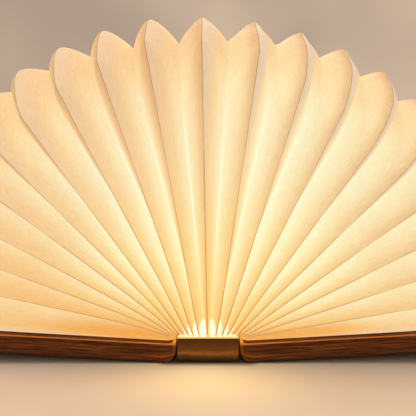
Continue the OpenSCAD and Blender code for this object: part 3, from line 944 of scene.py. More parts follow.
    @staticmethod
    def fibres(s: Shader) -> Socket:
        """Fine threads laid in two crossed directions over the sheet.

        Args:
            s: The material being built.

        Returns:
            A number socket, 0 to 1.
        """
        one = s.noise(s.sheet((1.0, 0.16, 1.0), 0.6), 2900, 3, 0.6, 0.8)
        two = s.noise(s.sheet((1.0, 0.2, 1.0), -0.85), 2600, 3, 0.6, 0.8)
        return s.times(s.plus(one, two), 0.5)


@dataclass(frozen=True)
class LinerPaper:
    """The same paper, glued flat inside a cover, with the light from above painted in as a glow."""

    name: str
    body: float = 0.45
    glow: float = 0.5

    def material(self) -> bpy.types.Material:
        """Builds the liner from Object coordinates.

        Returns:
            The material.
        """
        s = Shader(self.name)
        threads = s.noise(s.position(scale=(1.0, 0.15, 1.0), turn=(0, 0, 0.6)), 2400, 3, 0.6, 0.8)
        tone = s.mix(s.remap(threads, 0.3, 0.7), linear(236, 170, 92), linear(252, 200, 120))
        s.set(Base_Color=s.mix(1.0, tone, (self.body,) * 3, "MULTIPLY"), Roughness=0.75)
        # Painted light: the liner glows, standing for the shade's light falling on it.
        s.set(Emission_Color=tone, Emission_Strength=self.glow)
        s.bump(threads, 0.03 * MM, 0.5)
        return s.material


@dataclass(frozen=True)
class OpalGlow:
    """Frosted opal plastic with the lamps burning behind it, hottest by the spine's ends."""

    name: str
    sizes: BookSizes
    strength: float = 0.95
    end_inset: float = 8.6 * MM
    end_blur: float = 0.7 * MM

    def material(self) -> bpy.types.Material:
        """Builds the glowing diffuser.

        Returns:
            The material.
        """
        s = Shader(self.name)
        x, y, _ = s.axes(s.place())
        end = self.sizes.page_y - self.end_inset
        hot = s.times(s.rise(s.unsigned(y), end - self.end_blur, end + self.end_blur),
                      s.rise(s.unsigned(x), 0.25 * MM, 0.6 * MM))
        cloud = s.noise(s.position(scale=(0.5, 1.0, 1.0)), 120, 2, 0.5)
        s.set(Base_Color=s.mix(hot, linear(120, 92, 56), linear(126, 122, 108)), Roughness=0.5,
              Emission_Color=s.mix(hot, linear(252, 208, 126), linear(255, 250, 212)),
              Emission_Strength=s.remap(cloud, 0.3, 0.7, self.strength * 0.85, self.strength * 1.1))
        return s.material


@dataclass(frozen=True)
class FineSurface:
    """A small part's finish: a base colour with a fine mottle, a roughness and a metal share."""

    name: str
    colour: tuple
    second: tuple
    grain: float
    rough: float
    metal: float = 0.0
    glow: float = 0.0

    def material(self) -> bpy.types.Material:
        """Builds the finish.

        Returns:
            The material.
        """
        s = Shader(self.name)
        speck = s.noise(s.position(), self.grain, 3, 0.6)
        s.set(Base_Color=s.mix(s.remap(speck, 0.35, 0.65), self.colour, self.second))
        rough = s.remap(speck, 0.3, 0.7, self.rough - 0.06, self.rough + 0.08)
        s.set(Roughness=rough, Metallic=self.metal)
        s.bump(speck, 0.02 * MM, 0.4)
        if self.glow:
            s.set(Emission_Color=(*self.colour, 1.0), Emission_Strength=self.glow)
        return s.material


# ---------------------------------------------------------------- sub-assemblies


@dataclass(frozen=True)
class Settling:
    """How the paper has settled away from straight pages: sideways shifts in metres, widths in pages."""

    pages: int = 9
    left_rise: float = 1.2 * MM
    rise_from: float = 3.5
    rise_run: float = 2.5
    right_bow: float = 0.55 * MM
    bow_span: float = 5.5
    spread: float = 0.65 * MM
    spread_width: float = 1.6
    spread_height: float = 6 * MM
    root_gap: float = 0.6 * MM
    gap_width: float = 8.0
    gap_height: float = 8 * MM
    curl: float = 1.0 * MM
    curl_from: float = 45 * MM
    curl_run: float = 38 * MM
    stand: float = 1.3 * MM
    bow_stand: float = 1.3
    left_fill: float = 4.2 * MM
    right_fill: float = -0.8 * MM
    fill_span: float = 9.5

    def hump(self, k: float) -> float:
        """A smooth hump over the page number: 0 at the middle and beside the covers, 1 half way."""
        return abs(math.sin(math.pi * min(abs(k), self.fill_span) / self.fill_span)) ** 3

    def bow(self, k: float) -> float:
        """A hump over the first five pages to the right of the middle."""
        return math.sin(math.pi * k / self.bow_span) if 0 < k < self.bow_span else 0.0

    def shift(self, k: int, r: np.ndarray) -> np.ndarray:
        """Sideways shift of page k at radius r, positive to the right. The low left pages ride up by
        left_rise, the right-hand ones bow outwards, the innermost spread apart from the root up, and the
        tips curl in as r squared.

        Args:
            k: Page number.
            r: Radii in metres.

        Returns:
            Shifts in metres.
        """
        if k == 0 or abs(k) > self.pages:
            return np.zeros_like(r)
        away = math.copysign(1.0, k)
        share = min(max((abs(k) - self.rise_from) / self.rise_run, 0.0), 1.0)
        ride = share * share * (3 - 2 * share) * (self.left_rise if k < 0 else 0.0)
        apart = away * self.spread * math.exp(-((abs(k) - 1.0) ** 2) / self.spread_width)
        side = ride + apart + self.right_bow * self.bow(k)
        gap = away * self.root_gap * math.exp(-((abs(k) - 2.0) ** 2) / self.gap_width)
        past = np.maximum((r - self.curl_from) / self.curl_run, 0.0)
        curl = away * self.curl * self.hump(k) * past ** 2
        return side * (1 - np.exp(-r / self.spread_height)) + gap * np.exp(-r / self.gap_height) - curl

    def fill(self, k: float) -> float:
        """How far the fore-edge valley beside page k stands out from its plain depth, less where it
        sinks.

        Args:
            k: Page number, half way between its two pages for a valley.

        Returns:
            The distance in metres.
        """
        if k < 0:
            return self.hump(k) * self.left_fill + self.stand
        return self.hump(k) * self.right_fill + self.stand * (1 + self.bow_stand * self.bow(k))


@dataclass(frozen=True)
class Shade:
    """The pleated paper: one V-shaped page for each ridge, and a flat end page on each cover.

    Corners are Bezier points (r past the page's reach, y) in millimetres, from the leg to the fore-edge.
    left_tuck and right_tuck move the planes that the shut pages fold into, in millimetres by page number.
    The kept values are shares of a page's width that are left when the book is shut.
    """

    sizes: BookSizes
    settling: Settling = Settling()
    leg_rows: int = 24
    leg_power: float = 1.4
    corner_rows: int = 20
    edge_rows: int = 5
    column_stops: tuple = (0.0, 0.006, 0.014, 0.03, 0.07, 0.15, 0.3, 0.5, 0.7, 0.86, 0.95, 1.0)
    ridge_round: float = 0.008
    paper: float = 0.14 * MM
    left_crisp: tuple = ((-14.5, 0.0), (-9.5, 6.0), (-0.5, 17.5), (0.0, 22.0))
    left_round: tuple = ((-19.8, 0.0), (-8.5, 6.9), (-1.7, 15.6), (0.0, 21.4))
    right_crisp: tuple = ((-17.0, 0.0), (-6.0, 11.5), (-5.0, 18.0), (0.0, 23.4))
    right_soft: tuple = ((-28.0, 0.0), (-13.0, 2.0), (-8.0, 14.0), (0.0, 24.0))
    soft_over: float = 3.0
    valley_back: float = 28.0 * MM
    valley_along: float = 31.0 * MM
    valley_lift: float = 0.25 * MM
    swell: float = 0.65
    swell_from: float = 0.6
    end_start: float = -1.15 * MM
    end_reach: float = 1.0 * MM
    end_lift: float = 0.04 * MM
    sheet_step: tuple = (0.05, 0.013)
    left_tuck: tuple = (0.0, 0.0, 0.2, 0.5, 0.86, 1.28, 1.46, 1.15, 0.81, 0.43)
    right_tuck: tuple = (0.0, 0.0, 0.0, 0.0, -0.1, -0.3, -0.6, -0.5, -0.4, -0.25)
    kept_least: float = 0.02
    kept_most: float = 0.1
    kept_end: float = 0.03
    kept_fit: float = 0.26
    page_width: float = 0.083

    def is_end(self, k: int) -> bool:
        """Whether page k is one of the two end pages."""
        return abs(k) > self.sizes.pages_per_side

    def ridge_corner(self, k: int) -> np.ndarray:
        """Bezier points of page k's fore-edge corner: crisp in the middle, softer to the right, round to
        the left.

        Args:
            k: Page number.

        Returns:
            Array of (4, 2), as (r, y) from the leg to the fore-edge.
        """
        soft = min(max(abs(k) - 1, 0) / self.soft_over, 1.0)
        left = np.array(self.left_crisp) * (1 - soft) + np.array(self.left_round) * soft
        right = np.array(self.right_crisp) * (1 - soft) + np.array(self.right_soft) * soft
        shape = (left + right) / 2 if k == 0 else (left if k < 0 else right)
        return shape * MM + np.array([self.sizes.page_r, 0.0])

    def valley_corner(self, fill: float) -> np.ndarray:
        """Bezier points of a valley's corner: the cubic form of a parabola through its leg's and
        fore-edge's ends.

        Args:
            fill: How far its fore-edge stands out from its plain depth, in metres.

        Returns:
            Array of (4, 2), as (r, y) from the leg to the fore-edge.
        """
        z = self.sizes
        edge_r = z.page_r - z.fore_depth + fill
        leg = np.array([z.page_r - self.valley_back, z.fold_depth])
        corner = np.array([edge_r, z.fold_depth])
        edge = np.array([edge_r, self.valley_along])
        return np.array([leg, leg + (corner - leg) * 2 / 3, edge + (corner - edge) * 2 / 3, edge])

    def path(self, start: float, corner: np.ndarray) -> np.ndarray:
        """Outline of a ridge or a valley as (r, y): up a leg, round a cubic Bezier corner, along the
        fore-edge, and the same again, mirrored, down to the other end.

        Args:
            start: Radius at which the paper begins.
            corner: Four Bezier points (r, y).

        Returns:
            Array of (rows, 2), from the head end's root to the tail end's root.
        """
        a, b, c, d = corner
        rise = np.linspace(0, 1, self.leg_rows, endpoint=False)[:, None] ** self.leg_power
        leg = np.array([start, a[1]]) * (1 - rise) + a * rise
        t = np.linspace(0, 1, self.corner_rows, endpoint=False)[:, None]
        bend = (1 - t) ** 3 * a + 3 * t * (1 - t) ** 2 * b + 3 * t ** 2 * (1 - t) * c + t ** 3 * d
        run = np.linspace(0, 1, self.edge_rows)[:, None]
        middle = self.sizes.page_y
        edge = d * (1 - run) + np.array([d[0], middle]) * run
        half = np.vstack([leg, bend, edge])
        back = half[-2::-1] * np.array([1, -1]) + np.array([0, 2 * middle])
        return np.vstack([half, back])

    def line(self, k: int, path: np.ndarray) -> np.ndarray:
        """Points of page k's middle plane for (r, y) pairs: the root plus r times the page's direction
        and the settling's shift across it, with y along the spine. An end page also lies off the liner by
        end_lift and the climb of the lip, and is stretched along the spine by end_reach at each end.

        Args:
            k: Page number.
            path: Array of (..., 2), in metres.

        Returns:
            Array of (..., 3), in metres.
        """
        z = self.sizes
        aside = self.settling.shift(k, path[..., 0])
        stretch = 1.0
        if self.is_end(k):
            aside = aside - np.sign(k) * (self.end_lift + self.climb(path[..., 0]))
            stretch = 1 + self.end_reach / z.page_y
        points = z.root(k) + path[..., :1] * z.direction(k) + aside[..., None] * z.across(k)
        points[..., 1] = (path[..., 1] - z.page_y) * stretch
        return points

    def climb(self, r: np.ndarray) -> np.ndarray:
        """Height of a cover's lip under the end page: an arc of the lip's own radius, from where the lip
        begins.

        Args:
            r: Radii in metres.

        Returns:
            Heights in metres.
        """
        z = self.sizes
        root_u = (z.root_spread - z.hinge_x) / math.cos(z.tilt)
        into = np.clip(z.board_u + z.lip_run - root_u - r, 0.0, z.lip_run)
        return z.lip_radius - np.sqrt(z.lip_radius ** 2 - into ** 2)

    def valley(self, k: int, other: int) -> np.ndarray:
        """Path (r, y) of the valley between two neighbouring pages.

        Args:
            k: Page number.
            other: The neighbour's number.

        Returns:
            Array of (rows, 2).
        """
        begin = max(self.sizes.page_start(k), self.sizes.page_start(other)) + self.valley_lift
        return self.path(begin, self.valley_corner(self.settling.fill((k + other) / 2)))

    def columns(self, sides: tuple) -> tuple:
        """Places u across a page, and s, which is |u|, rounded over the ridge where the page has both
        panels.

        Args:
            sides: Lowest and highest u.

        Returns:
            Arrays u and s.
        """
        stops = np.array(self.column_stops)
        u = np.concatenate([-stops[:0:-1], stops])
        u = u[(u >= sides[0]) & (u <= sides[1])]
        whole = sides == (-1, 1)
        return u, np.sqrt(u ** 2 + self.ridge_round ** 2 * (1 - np.abs(u))) if whole else np.abs(u)

    def surface(self, k: int, sides: tuple) -> tuple:
        """A page as a function of u across and v along. The shares of the valleys are (s -+ u) / 2, with
        s as columns() gives it. A point's (r, y) moves from the ridge's path to the valley's by its share
        to the power 1 + swell (swell only round the corner and along the fore-edge, where the paper
        stands full), and its plane turns by half its share towards the neighbour's.

        Args:
            k: Page number.
            sides: Lowest and highest u: -1 is the left valley, 0 the ridge, 1 the right valley.

        Returns:
            Points (rows, columns, 3), UV in metres, and named values for the points.
        """
        z = self.sizes
        ridge = self.path(self.end_start if self.is_end(k) else z.page_start(k), self.ridge_corner(k))
        u, s = self.columns(sides)
        rows = np.arange(len(ridge))
        leg_share = np.minimum(rows, rows[::-1]) / self.leg_rows
        up = np.clip((leg_share - self.swell_from) / (1 - self.swell_from), 0, 1)
        power = 1 + self.swell * up * up * (3 - 2 * up)
        route = np.repeat(ridge[:, None], len(u), axis=1)
        turned = []
        for other, share in ((k - 1, (s - u) / 2), (k + 1, (s + u) / 2)):
            if abs(other) > z.pages_per_side + 1:
                continue
            moved = share[None] ** power[:, None]
            route = route + moved[..., None] * (self.valley(k, other) - ridge)[:, None]
            turned.append((other, share[None, :, None] / 2))
        own = self.line(k, route)
        grid = own + sum((self.line(other, route) - own) * half for other, half in turned)
        turn = np.repeat(u[None, :], len(grid), axis=0)
        values = {"turn": turn, "reach": route[..., 0] / z.page_r, "page": np.full_like(turn, k / 10)}
        return grid, self.flattened(grid, u) + k * np.array(self.sheet_step), values

    @staticmethod
    def flattened(grid: np.ndarray, u: np.ndarray) -> np.ndarray:
        """Unrolls a page: each point's distance across from the ridge, and the ridge's own length up to
        its row.

        Args:
            grid: Points (rows, columns, 3).
            u: The columns' places.

        Returns:
            UV (rows, columns, 2), in metres.
        """
        span = np.linalg.norm(np.diff(grid, axis=1), axis=2)
        x = np.concatenate([np.zeros((len(grid), 1)), np.cumsum(span, axis=1)], axis=1)
        ridge = int(np.argmin(np.abs(u)))
        along = np.cumsum(np.linalg.norm(np.diff(grid[:, ridge], axis=0), axis=1))
        v = np.repeat(np.concatenate([[0], along])[:, None], len(u), axis=1)
        return np.stack([x - x[:, [ridge]], v], axis=2)

    def page(self, name: str, k: int, sides: tuple, finish: bpy.types.Material) -> bpy.types.Object:
        """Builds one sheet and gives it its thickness.

        Args:
            name: Object name.
            k: Page number.
            sides: Range of u, as surface() takes it.
            finish: The paper.

        Returns:
            The piece.
        """
        grid, uv, values = self.surface(k, sides)
        piece = MeshMaker.grid(name, grid, uv=uv, attributes=values)
        MeshMaker.smooth(piece)
        piece.data.materials.append(finish)
        wall = piece.modifiers.new("paper", "SOLIDIFY")
        wall.thickness = self.paper
        wall.offset = -1.0
        wall.use_rim = True
        return piece

    def tuck(self, n: int, side: Side) -> tuple:
        """Point of the plane that page n of one side folds into when shut, moved over so that the stack
        is even.

        Args:
            n: Page number from the middle.
            side: Which side.

        Returns:
            The point, in metres.
        """
        k = n * side.value
        over = self.left_tuck if side is Side.LEFT else self.right_tuck
        return tuple(self.sizes.root(k) + self.sizes.across(k) * over[n] * MM)

    def keep(self, n: int) -> float:
        """Share of a page's width that is left when the book is shut: kept_fit of its place in the stack.

        Args:
            n: Page number from the middle.

        Returns:
            The share.
        """
        z = self.sizes
        if n > z.last_spine_page:
            return self.kept_least
        place = z.root(n + 1)[0] - z.root(n)[0]
        share = self.kept_fit * place / (z.page_r * self.page_width)
        return max(self.kept_least, min(self.kept_most, share))

    def build(self, finish: bpy.types.Material) -> None:
        """Makes every page and rides it on its body.

        Args:
            finish: The paper.
        """
        z = self.sizes
        for side in Side:
            outer, inner = ((-1, 0), (0, 1)) if side is Side.LEFT else ((0, 1), (-1, 0))
            piece = self.page(f"page_centre_{side.word}", 0, outer, finish)
            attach(piece, "spine")
            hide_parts("pleat_centre")
            tuple(z.across(0))
            tuple(z.root(0))
            self.keep(0)
            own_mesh(piece)
            for n in range(1, z.pages_per_side + 1):
                k = n * side.value
                piece = self.page(f"page_{side.word}_{n}", k, (-1, 1), finish)
                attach(piece, f"{side.word}_page_{n}")
                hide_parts(f"pleat_{side.word}_{n}")
                tuple(z.across(k))
                self.tuck(n, side)
                self.keep(n)
                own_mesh(piece)
            k = (z.pages_per_side + 1) * side.value
            piece = self.page(f"end_page_{side.word}", k, inner, finish)
            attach(piece, f"{side.word}_cover")
            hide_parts(f"{side.word}_end_page")
            tuple(z.across(k))
            tuple(z.root(k))
            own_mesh(piece)
            log.info("%s half of the shade: %d pages", side.word, z.pages_per_side)


@dataclass(frozen=True)
class CoverBoard:
    """One walnut board: a rounded section carried along the spine, with eased ends and fore-edge
    corners."""

    sizes: BookSizes
    side: Side
    arc_steps: int = 12
    flat_steps: int = 22
    ease: float = 0.3 * MM
    ease_rings: int = 4
    top_share: float = 0.28
    rim_radius: float = 0.35 * MM
    lip_end: float = 0.12 * MM
    crest_in: float = 0.08 * MM
    crest_low: float = 0.015 * MM
    crest_foot: float = 0.12 * MM
    end_top: float = 0.16 * MM
    corner_rings: int = 9
    corner_start: float = 0.25
    corner_reach: float = 1.6
    room_start: float = 0.12
    room_step: float = 0.02 * MM
    middle_rings: int = 8
    sharp_deg: float = 28.0

    def arc(self, centre: tuple, radius: float, start: float, stop: float) -> np.ndarray:
        """Points of an arc: centre plus radius times (cos a, sin a), with a from start to stop.

        Args:
            centre: Place (u, w) of the centre.
            radius: The radius.
            start: First angle in radians.
            stop: Last angle in radians.

        Returns:
            Array of (arc_steps, 2).
        """
        a = np.linspace(start, stop, self.arc_steps)
        return np.stack([centre[0] + radius * np.cos(a), centre[1] + radius * np.sin(a)], 1)

    def flat(self, start: float, stop: float, level: float) -> np.ndarray:
        """Points of a level stretch, without its two ends.

        Args:
            start: First u.
            stop: Last u.
            level: Its w.

        Returns:
            Array of (flat_steps, 2).
        """
        u = np.linspace(start, stop, self.flat_steps + 2)[1:-1]
        return np.stack([u, np.full_like(u, level)], 1)

    def hinge_end(self, groove: bool) -> np.ndarray:
        """The hinge end from the crest down: plain, or with an arc of room round the pin and a seat for
        the leaf.

        Args:
            groove: Whether the hinge is let in.

        Returns:
            Array of (arc_steps + 2, 2).
        """
        z = self.sizes
        room, leaf = z.hinge_room_radius, z.board_u + z.hinge_leaf
        if groove:
            first = math.asin(z.crest_drop / room) + self.room_start
            cut = self.arc((0.0, 0.0), room, -first, -math.acos(leaf / room))
            return np.vstack([cut, [[leaf, -z.hinge_leaf_height], [z.board_u, -z.hinge_leaf_height]]])
        w = np.linspace(-z.crest_drop - self.end_top, -z.hinge_leaf_height, self.arc_steps + 2)
        return np.stack([np.full_like(w, z.board_u), w], 1)

    def section(self, groove: bool) -> np.ndarray:
        """Closed outline in (u, w) from the hinge pin, anticlockwise: bottom, fore-edge, top, lip, hinge
        end.

        Args:
            groove: Whether the hinge is let in.

        Returns:
            Array of (points, 2).
        """
        z = self.sizes
        r, u0, u1 = z.edge_radius, z.board_u, z.board_tip
        rim, low = self.rim_radius, z.outer_w + z.edge_radius
        heel = self.arc((u0 + r, low), r, math.pi, 1.5 * math.pi)
        bottom = self.flat(u0 + r, u1 - r, z.outer_w)
        toe = self.arc((u1 - r, low), r, -math.pi / 2, 0.0)
        edge = self.arc((u1 - rim, z.inner_w - rim), rim, 0.0, math.pi / 2)
        face = self.flat(u1 - rim, u0 + z.lip_run, z.inner_w)
        sweep = math.asin(z.lip_run / z.lip_radius)
        centre = (u0 + z.lip_run, z.inner_w + z.lip_radius)
        lip = self.arc(centre, z.lip_radius, -math.pi / 2, -math.pi / 2 - sweep)
        lip = lip[lip[:, 0] > u0 + self.lip_end]
        crest = np.array([[u0 + self.crest_in, -z.crest_drop - self.crest_low],
                          [u0, -z.crest_drop - self.crest_foot]])
        return np.vstack([heel, bottom, toe, edge, face, lip, crest, self.hinge_end(groove)])

    def stations(self) -> np.ndarray:
        """Places of the rings along the spine: close at the ends, corners and hinge cuts, wide between.

        Returns:
            Rising y, in metres.
        """
        z = self.sizes
        half = z.length / 2
        ends = half - self.ease * (1 - np.sin(np.linspace(0, math.pi / 2, self.ease_rings)))
        turn = np.linspace(self.corner_start, math.pi / 2, self.corner_rings)
        corner = half - z.corner_radius * (1 - np.cos(turn))
        step = z.hinge_room_half + np.array([1, -1]) * self.room_step
        mids = np.linspace(0, z.hinge_room_half - 2 * MM, self.middle_rings)
        ys = np.unique(np.round(np.concatenate([ends, corner, step, mids]), 7))
        return np.concatenate([-ys[::-1], ys[1:]])

    def grid(self) -> np.ndarray:
        """Sections at the stations along the spine. Near the ends each is drawn in by a quarter circle of
        the ease, and at the fore-edge corners u is drawn in, so that the tip keeps inside the corner's
        circle.

        Returns:
            Array of (stations, points, 3), as (u, y, w).
        """
        z = self.sizes
        ys = self.stations()
        is_grooved = (np.abs(ys) < z.hinge_room_half)[:, None, None]
        rings = np.where(is_grooved, self.section(True), self.section(False))
        u, w = rings[..., 0], rings[..., 1]
        into = (z.length / 2 - np.abs(ys))[:, None]
        pull = self.drawn_in(into, self.ease)
        w = w + np.where(w < z.inner_w - z.cover_thickness / 2, pull, -self.top_share * pull)
        base = z.board_tip - self.corner_reach * z.corner_radius
        share = (u - base) / (z.board_tip - base)
        tip = z.board_tip - self.drawn_in(into, z.corner_radius)
        u = np.where(u > base, base + share * (tip - base), u)
        return np.stack([u, np.broadcast_to(ys[:, None], u.shape), w], axis=2)

    @staticmethod
    def drawn_in(into: np.ndarray, radius: float) -> np.ndarray:
        """How far a quarter circle is drawn in: its radius less the root of radius squared less
        (radius - into) squared.

        Args:
            into: Distances from the end.
            radius: The circle's radius.

        Returns:
            Distances, 0 past the circle.
        """
        gone = radius - np.minimum(radius, into)
        return radius - np.sqrt(np.maximum(radius ** 2 - gone ** 2, 0.0))

    def placed(self, local: np.ndarray) -> np.ndarray:
        """Turns points of a right-hand cover onto the open book, mirrored for the left.

        Args:
            local: Points (u, y, w).

        Returns:
            Points (x, y, z).
        """
        z = self.sizes
        u, y, w = local[..., 0], local[..., 1], local[..., 2]
        x = z.hinge_x + u * math.cos(z.tilt) - w * math.sin(z.tilt)
        height = z.hinge_z + u * math.sin(z.tilt) + w * math.cos(z.tilt)
        return np.stack([self.side.value * x, y, height], axis=-1)

    def build(self, finish: bpy.types.Material) -> None:
        """Makes the board and rides it on its cover.

        Args:
            finish: The wood.
        """
        points = self.placed(self.grid())
        if self.side is Side.RIGHT:
            points = points[:, ::-1]
        piece = MeshMaker.grid(f"board_{self.side.word}", points, wrap=True, capped=True)
        MeshMaker.smooth(piece, self.sharp_deg)
        piece.data.materials.append(finish)
        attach(piece, f"{self.side.word}_cover")
        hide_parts(f"{self.side.word}_cover_board")
        log.info("%s board: %d points", self.side.word, points.shape[0] * points.shape[1])


@dataclass(frozen=True)
class Dresser:
    """Gives each CAD node that stays its finish."""

    sizes: BookSizes
    steel_pieces: tuple = ("hinge_cover_leaf", "hinge_spine_leaf", "hinge_pin")

    def table(self) -> list[tuple]:
        """Every finish with the nodes that have it.

        Returns:
            Pairs of a finish and its nodes' names.
        """
        return [
            (SpineBronze("aged_bronze", sizes=self.sizes),
             ("spine_channel", "head_end_cap", "tail_end_cap")),
            (AgedBronze("bronzed_steel", linear(104, 66, 32), linear(168, 116, 62), 0.38),
             tuple(f"{side.word}_{piece}" for side in Side for piece in self.steel_pieces)),
            (AgedBronze("button_bronze", linear(120, 80, 40), linear(176, 124, 66)), ("mode_button",)),
            (OpalGlow("opal_glow", self.sizes), ("light_diffuser",)),
            (LinerPaper("liner_paper"), ("left_cover_liner", "right_cover_liner")),
            (FineSurface("nickel", linear(150, 150, 152), linear(188, 188, 190), 2200, 0.3, 1.0),
             ("battery_leads", "charging_socket", "left_cover_magnets", "right_cover_magnets",
              "lid_trigger_magnet")),
            (FineSurface("zinc", linear(150, 146, 132), linear(186, 180, 162), 3000, 0.36, 1.0),
             ("spine_hinge_screws", "left_hinge_screws", "right_hinge_screws")),
            (FineSurface("black_epoxy", linear(24, 24, 26), linear(34, 34, 36), 4000, 0.5),
             ("board_components", "button_switch")),
            (FineSurface("white_mask", linear(232, 232, 226), linear(240, 240, 236), 900, 0.4),
             ("led_board",)),
            (FineSurface("phosphor", linear(255, 214, 120), linear(255, 226, 150), 900, 0.3, glow=2.0),
             ("led_chips",)),
            (FineSurface("foil", linear(170, 172, 176), linear(200, 202, 205), 700, 0.35, 0.8),
             ("battery_cell",)),
            (FineSurface("green_mask", linear(20, 82, 44), linear(28, 100, 56), 1800, 0.35),
             ("control_board",)),
            (FineSurface("gold_flash", linear(206, 164, 80), linear(224, 186, 100), 2500, 0.25, 1.0),
             ("board_link_pins",)),
        ]

    def build(self) -> None:
        """Puts every finish on its nodes."""
        for finish, names in self.table():
            material = finish.material()
            for name in names:
                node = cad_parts[name]
                if not node.material_slots:
                    node.data.materials.append(material)
                for place in node.material_slots:
                    place.link = "OBJECT"
                    place.material = material
                log.info("%s: %s", name, material.name)


# ---------------------------------------------------------------- studio


@dataclass(frozen=True)
class Lamp:
    """A soft round lamp that shines at the middle of the floor: metres and watts."""

    name: str
    place: tuple
    power: float
    size: float
    colour: tuple = (1.0, 0.96, 0.91)

    def build(self) -> None:
        """Makes the lamp."""
        data = bpy.data.lights.new(self.name, "AREA")
        data.shape = "DISK"
        data.size = self.size
        data.energy = self.power
        data.color = self.colour
        lamp = bpy.data.objects.new(self.name, data)
        lamp.location = self.place
        lamp.rotation_euler = (-Vector(self.place)).to_track_quat("-Z", "Y").to_euler()
        bpy.context.scene.collection.objects.link(lamp)


@dataclass(frozen=True)
class FloorPaint:
    """Pale paint with a faint mottle, a painted pool of the shade's light by the spine's ends, and a
    painted shadow under the spine."""

    name: str
    colour: tuple = linear(207, 183, 161)
    dim_share: float = 0.93
    painted_pool_colour: tuple = linear(255, 226, 172)
    pool_y: float = 65 * MM
    pool_wide: float = 17 * MM
    pool_deep: float = 8.5 * MM
    pool_strength: float = 0.86
    painted_shadow_colour: tuple = linear(52, 30, 16)
    painted_shadow_strength: float = 0.85

    def material(self) -> bpy.types.Material:
        """Builds the paint. The pool fades as e to the power of minus the sum of the squares of
        x / pool_wide and (|y| - pool_y) / pool_deep.

        Returns:
            The material.
        """
        s = Shader(self.name)
        cloud = s.noise(s.position(), 26.0, 3, 0.55)
        dim = tuple(self.dim_share * part for part in self.colour)
        plain = s.mix(s.remap(cloud, 0.35, 0.65), dim, self.colour)
        x, y, _ = s.axes(s.place())
        side, along = s.unsigned(x), s.unsigned(y)
        # Painted pool of light: the floor is warmed by each end of the spine.
        across = s.math("DIVIDE", x, self.pool_wide)
        out = s.math("DIVIDE", s.minus(along, self.pool_y), self.pool_deep)
        away = s.plus(s.times(across, across), s.times(out, out))
        pool = s.times(s.math("POWER", math.e, s.times(away, -1.0)), self.pool_strength)
        warm = s.mix(pool, plain, self.painted_pool_colour)
        # Painted shadow: the floor is darkened under the spine.
        under = s.times(s.fall(side, 9.5 * MM, 12.5 * MM),
                        s.fall(along, 60.5 * MM, 62.5 * MM, self.painted_shadow_strength))
        s.set(Base_Color=s.mix(under, warm, self.painted_shadow_colour), Roughness=0.55)
        return s.material


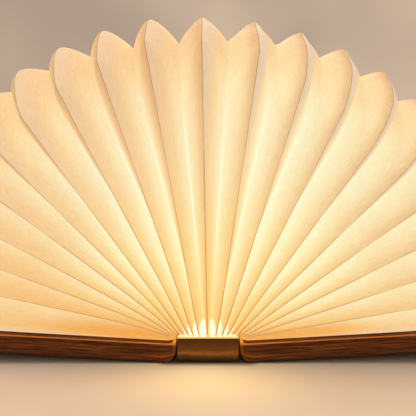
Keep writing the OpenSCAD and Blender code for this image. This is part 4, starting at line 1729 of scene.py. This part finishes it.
@dataclass(frozen=True)
class Studio:
    """Pale floor and background, soft lights and the camera."""

    focal: float = 25.96
    sensor: float = 36.0
    pitch: float = 0.116
    eye: tuple = (0.0, -126.9 * MM, 44.5 * MM)
    near_clip: float = 5 * MM
    far_clip: float = 50.0
    floor_inner: float = 50 * MM
    floor_radius: float = 6.0
    floor_rings: int = 24
    floor_columns: int = 64
    floor_drop: float = 0.02 * MM
    sky: tuple = linear(255, 246, 236)
    back_dim: tuple = linear(176, 156, 137)
    back_light: tuple = linear(205, 180, 156)
    lamps: tuple = (Lamp("key", (-0.4, 0.02, 1.2), 9.3, 0.45), Lamp("fill", (0.9, -0.25, 0.7), 2.5, 0.8),
                    Lamp("back", (0.1, 1.0, 0.9), 6.0, 0.7))

    def build(self) -> None:
        """Makes the stage, the lights and the camera."""
        self.floor()
        self.world()
        for lamp in self.lamps:
            lamp.build()
        self.camera()
        bpy.context.scene.view_settings.view_transform = "Standard"
        log.info("studio ready")

    def floor(self) -> None:
        """A wide round floor: (radius cos a, radius sin a), with rings that grow further apart
        outwards."""
        grown = np.geomspace(self.floor_inner, self.floor_radius, self.floor_rings)
        radius = np.concatenate([[MM], grown])
        angle = np.linspace(0, 2 * math.pi, self.floor_columns, endpoint=False)
        x = radius[:, None] * np.cos(angle)[None]
        y = radius[:, None] * np.sin(angle)[None]
        points = np.stack([x, y, np.full_like(x, -self.floor_drop)], axis=2)
        floor = MeshMaker.grid("floor", points, wrap=True)
        MeshMaker.smooth(floor)
        floor.data.materials.append(FloorPaint("floor_paint").material())

    def world(self) -> None:
        """Soft light from above, less from low down, and a plain background where the camera, gloss or
        glass looks past the floor."""
        world = bpy.data.worlds.new("studio_world")
        bpy.context.scene.world = world
        world.use_nodes = True
        n = Nodes(world.node_tree)
        n.tree.nodes.clear()
        ray = n.node("ShaderNodeLightPath").outputs
        seen = n.most(ray["Is Camera Ray"], ray["Is Transmission Ray"], ray["Is Glossy Ray"])
        way = n.node("ShaderNodeTexCoord").outputs["Generated"]
        x, _, z = n.axes(way)
        spread = n.plus(n.times(x, 0.35), n.noise(way, 3.4, 1.0, 0.5))
        wall = n.mix(n.remap(spread, 0.28, 0.74), self.back_dim, self.back_light)
        light = {"Color": (*self.sky, 1.0), "Strength": n.remap(z, -0.05, 0.5, 0.1, 0.62)}
        soft = n.node("ShaderNodeBackground", light).outputs[0]
        back = n.node("ShaderNodeBackground", {"Color": wall, "Strength": 1.0}).outputs[0]
        both = n.node("ShaderNodeMixShader", {0: seen, 1: soft, 2: back}).outputs[0]
        n.node("ShaderNodeOutputWorld", {"Surface": both})

    def camera(self) -> None:
        """The camera in front of the head end, low and close, looking slightly down."""
        data = bpy.data.cameras.new("camera")
        data.lens = self.focal
        data.sensor_width = self.sensor
        data.clip_start = self.near_clip
        data.clip_end = self.far_clip
        camera = bpy.data.objects.new("camera", data)
        camera.location = self.eye
        camera.rotation_euler = (math.pi / 2 - self.pitch, 0, 0)
        bpy.context.scene.collection.objects.link(camera)
        bpy.context.scene.camera = camera


# ---------------------------------------------------------------- main


def main() -> None:
    """Builds the dressed lamp and its studio."""
    logging.basicConfig(level=logging.INFO, format="%(name)s: %(message)s")
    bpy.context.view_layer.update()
    sizes = BookSizes()
    Studio().build()
    Shade(sizes).build(GlowPaper("glow_paper", sizes).material())
    for side in Side:
        CoverBoard(sizes, side).build(Walnut(f"walnut_{side.word}", side, sizes).material())
    Dresser(sizes).build()


if __name__ == "__main__":
    main()
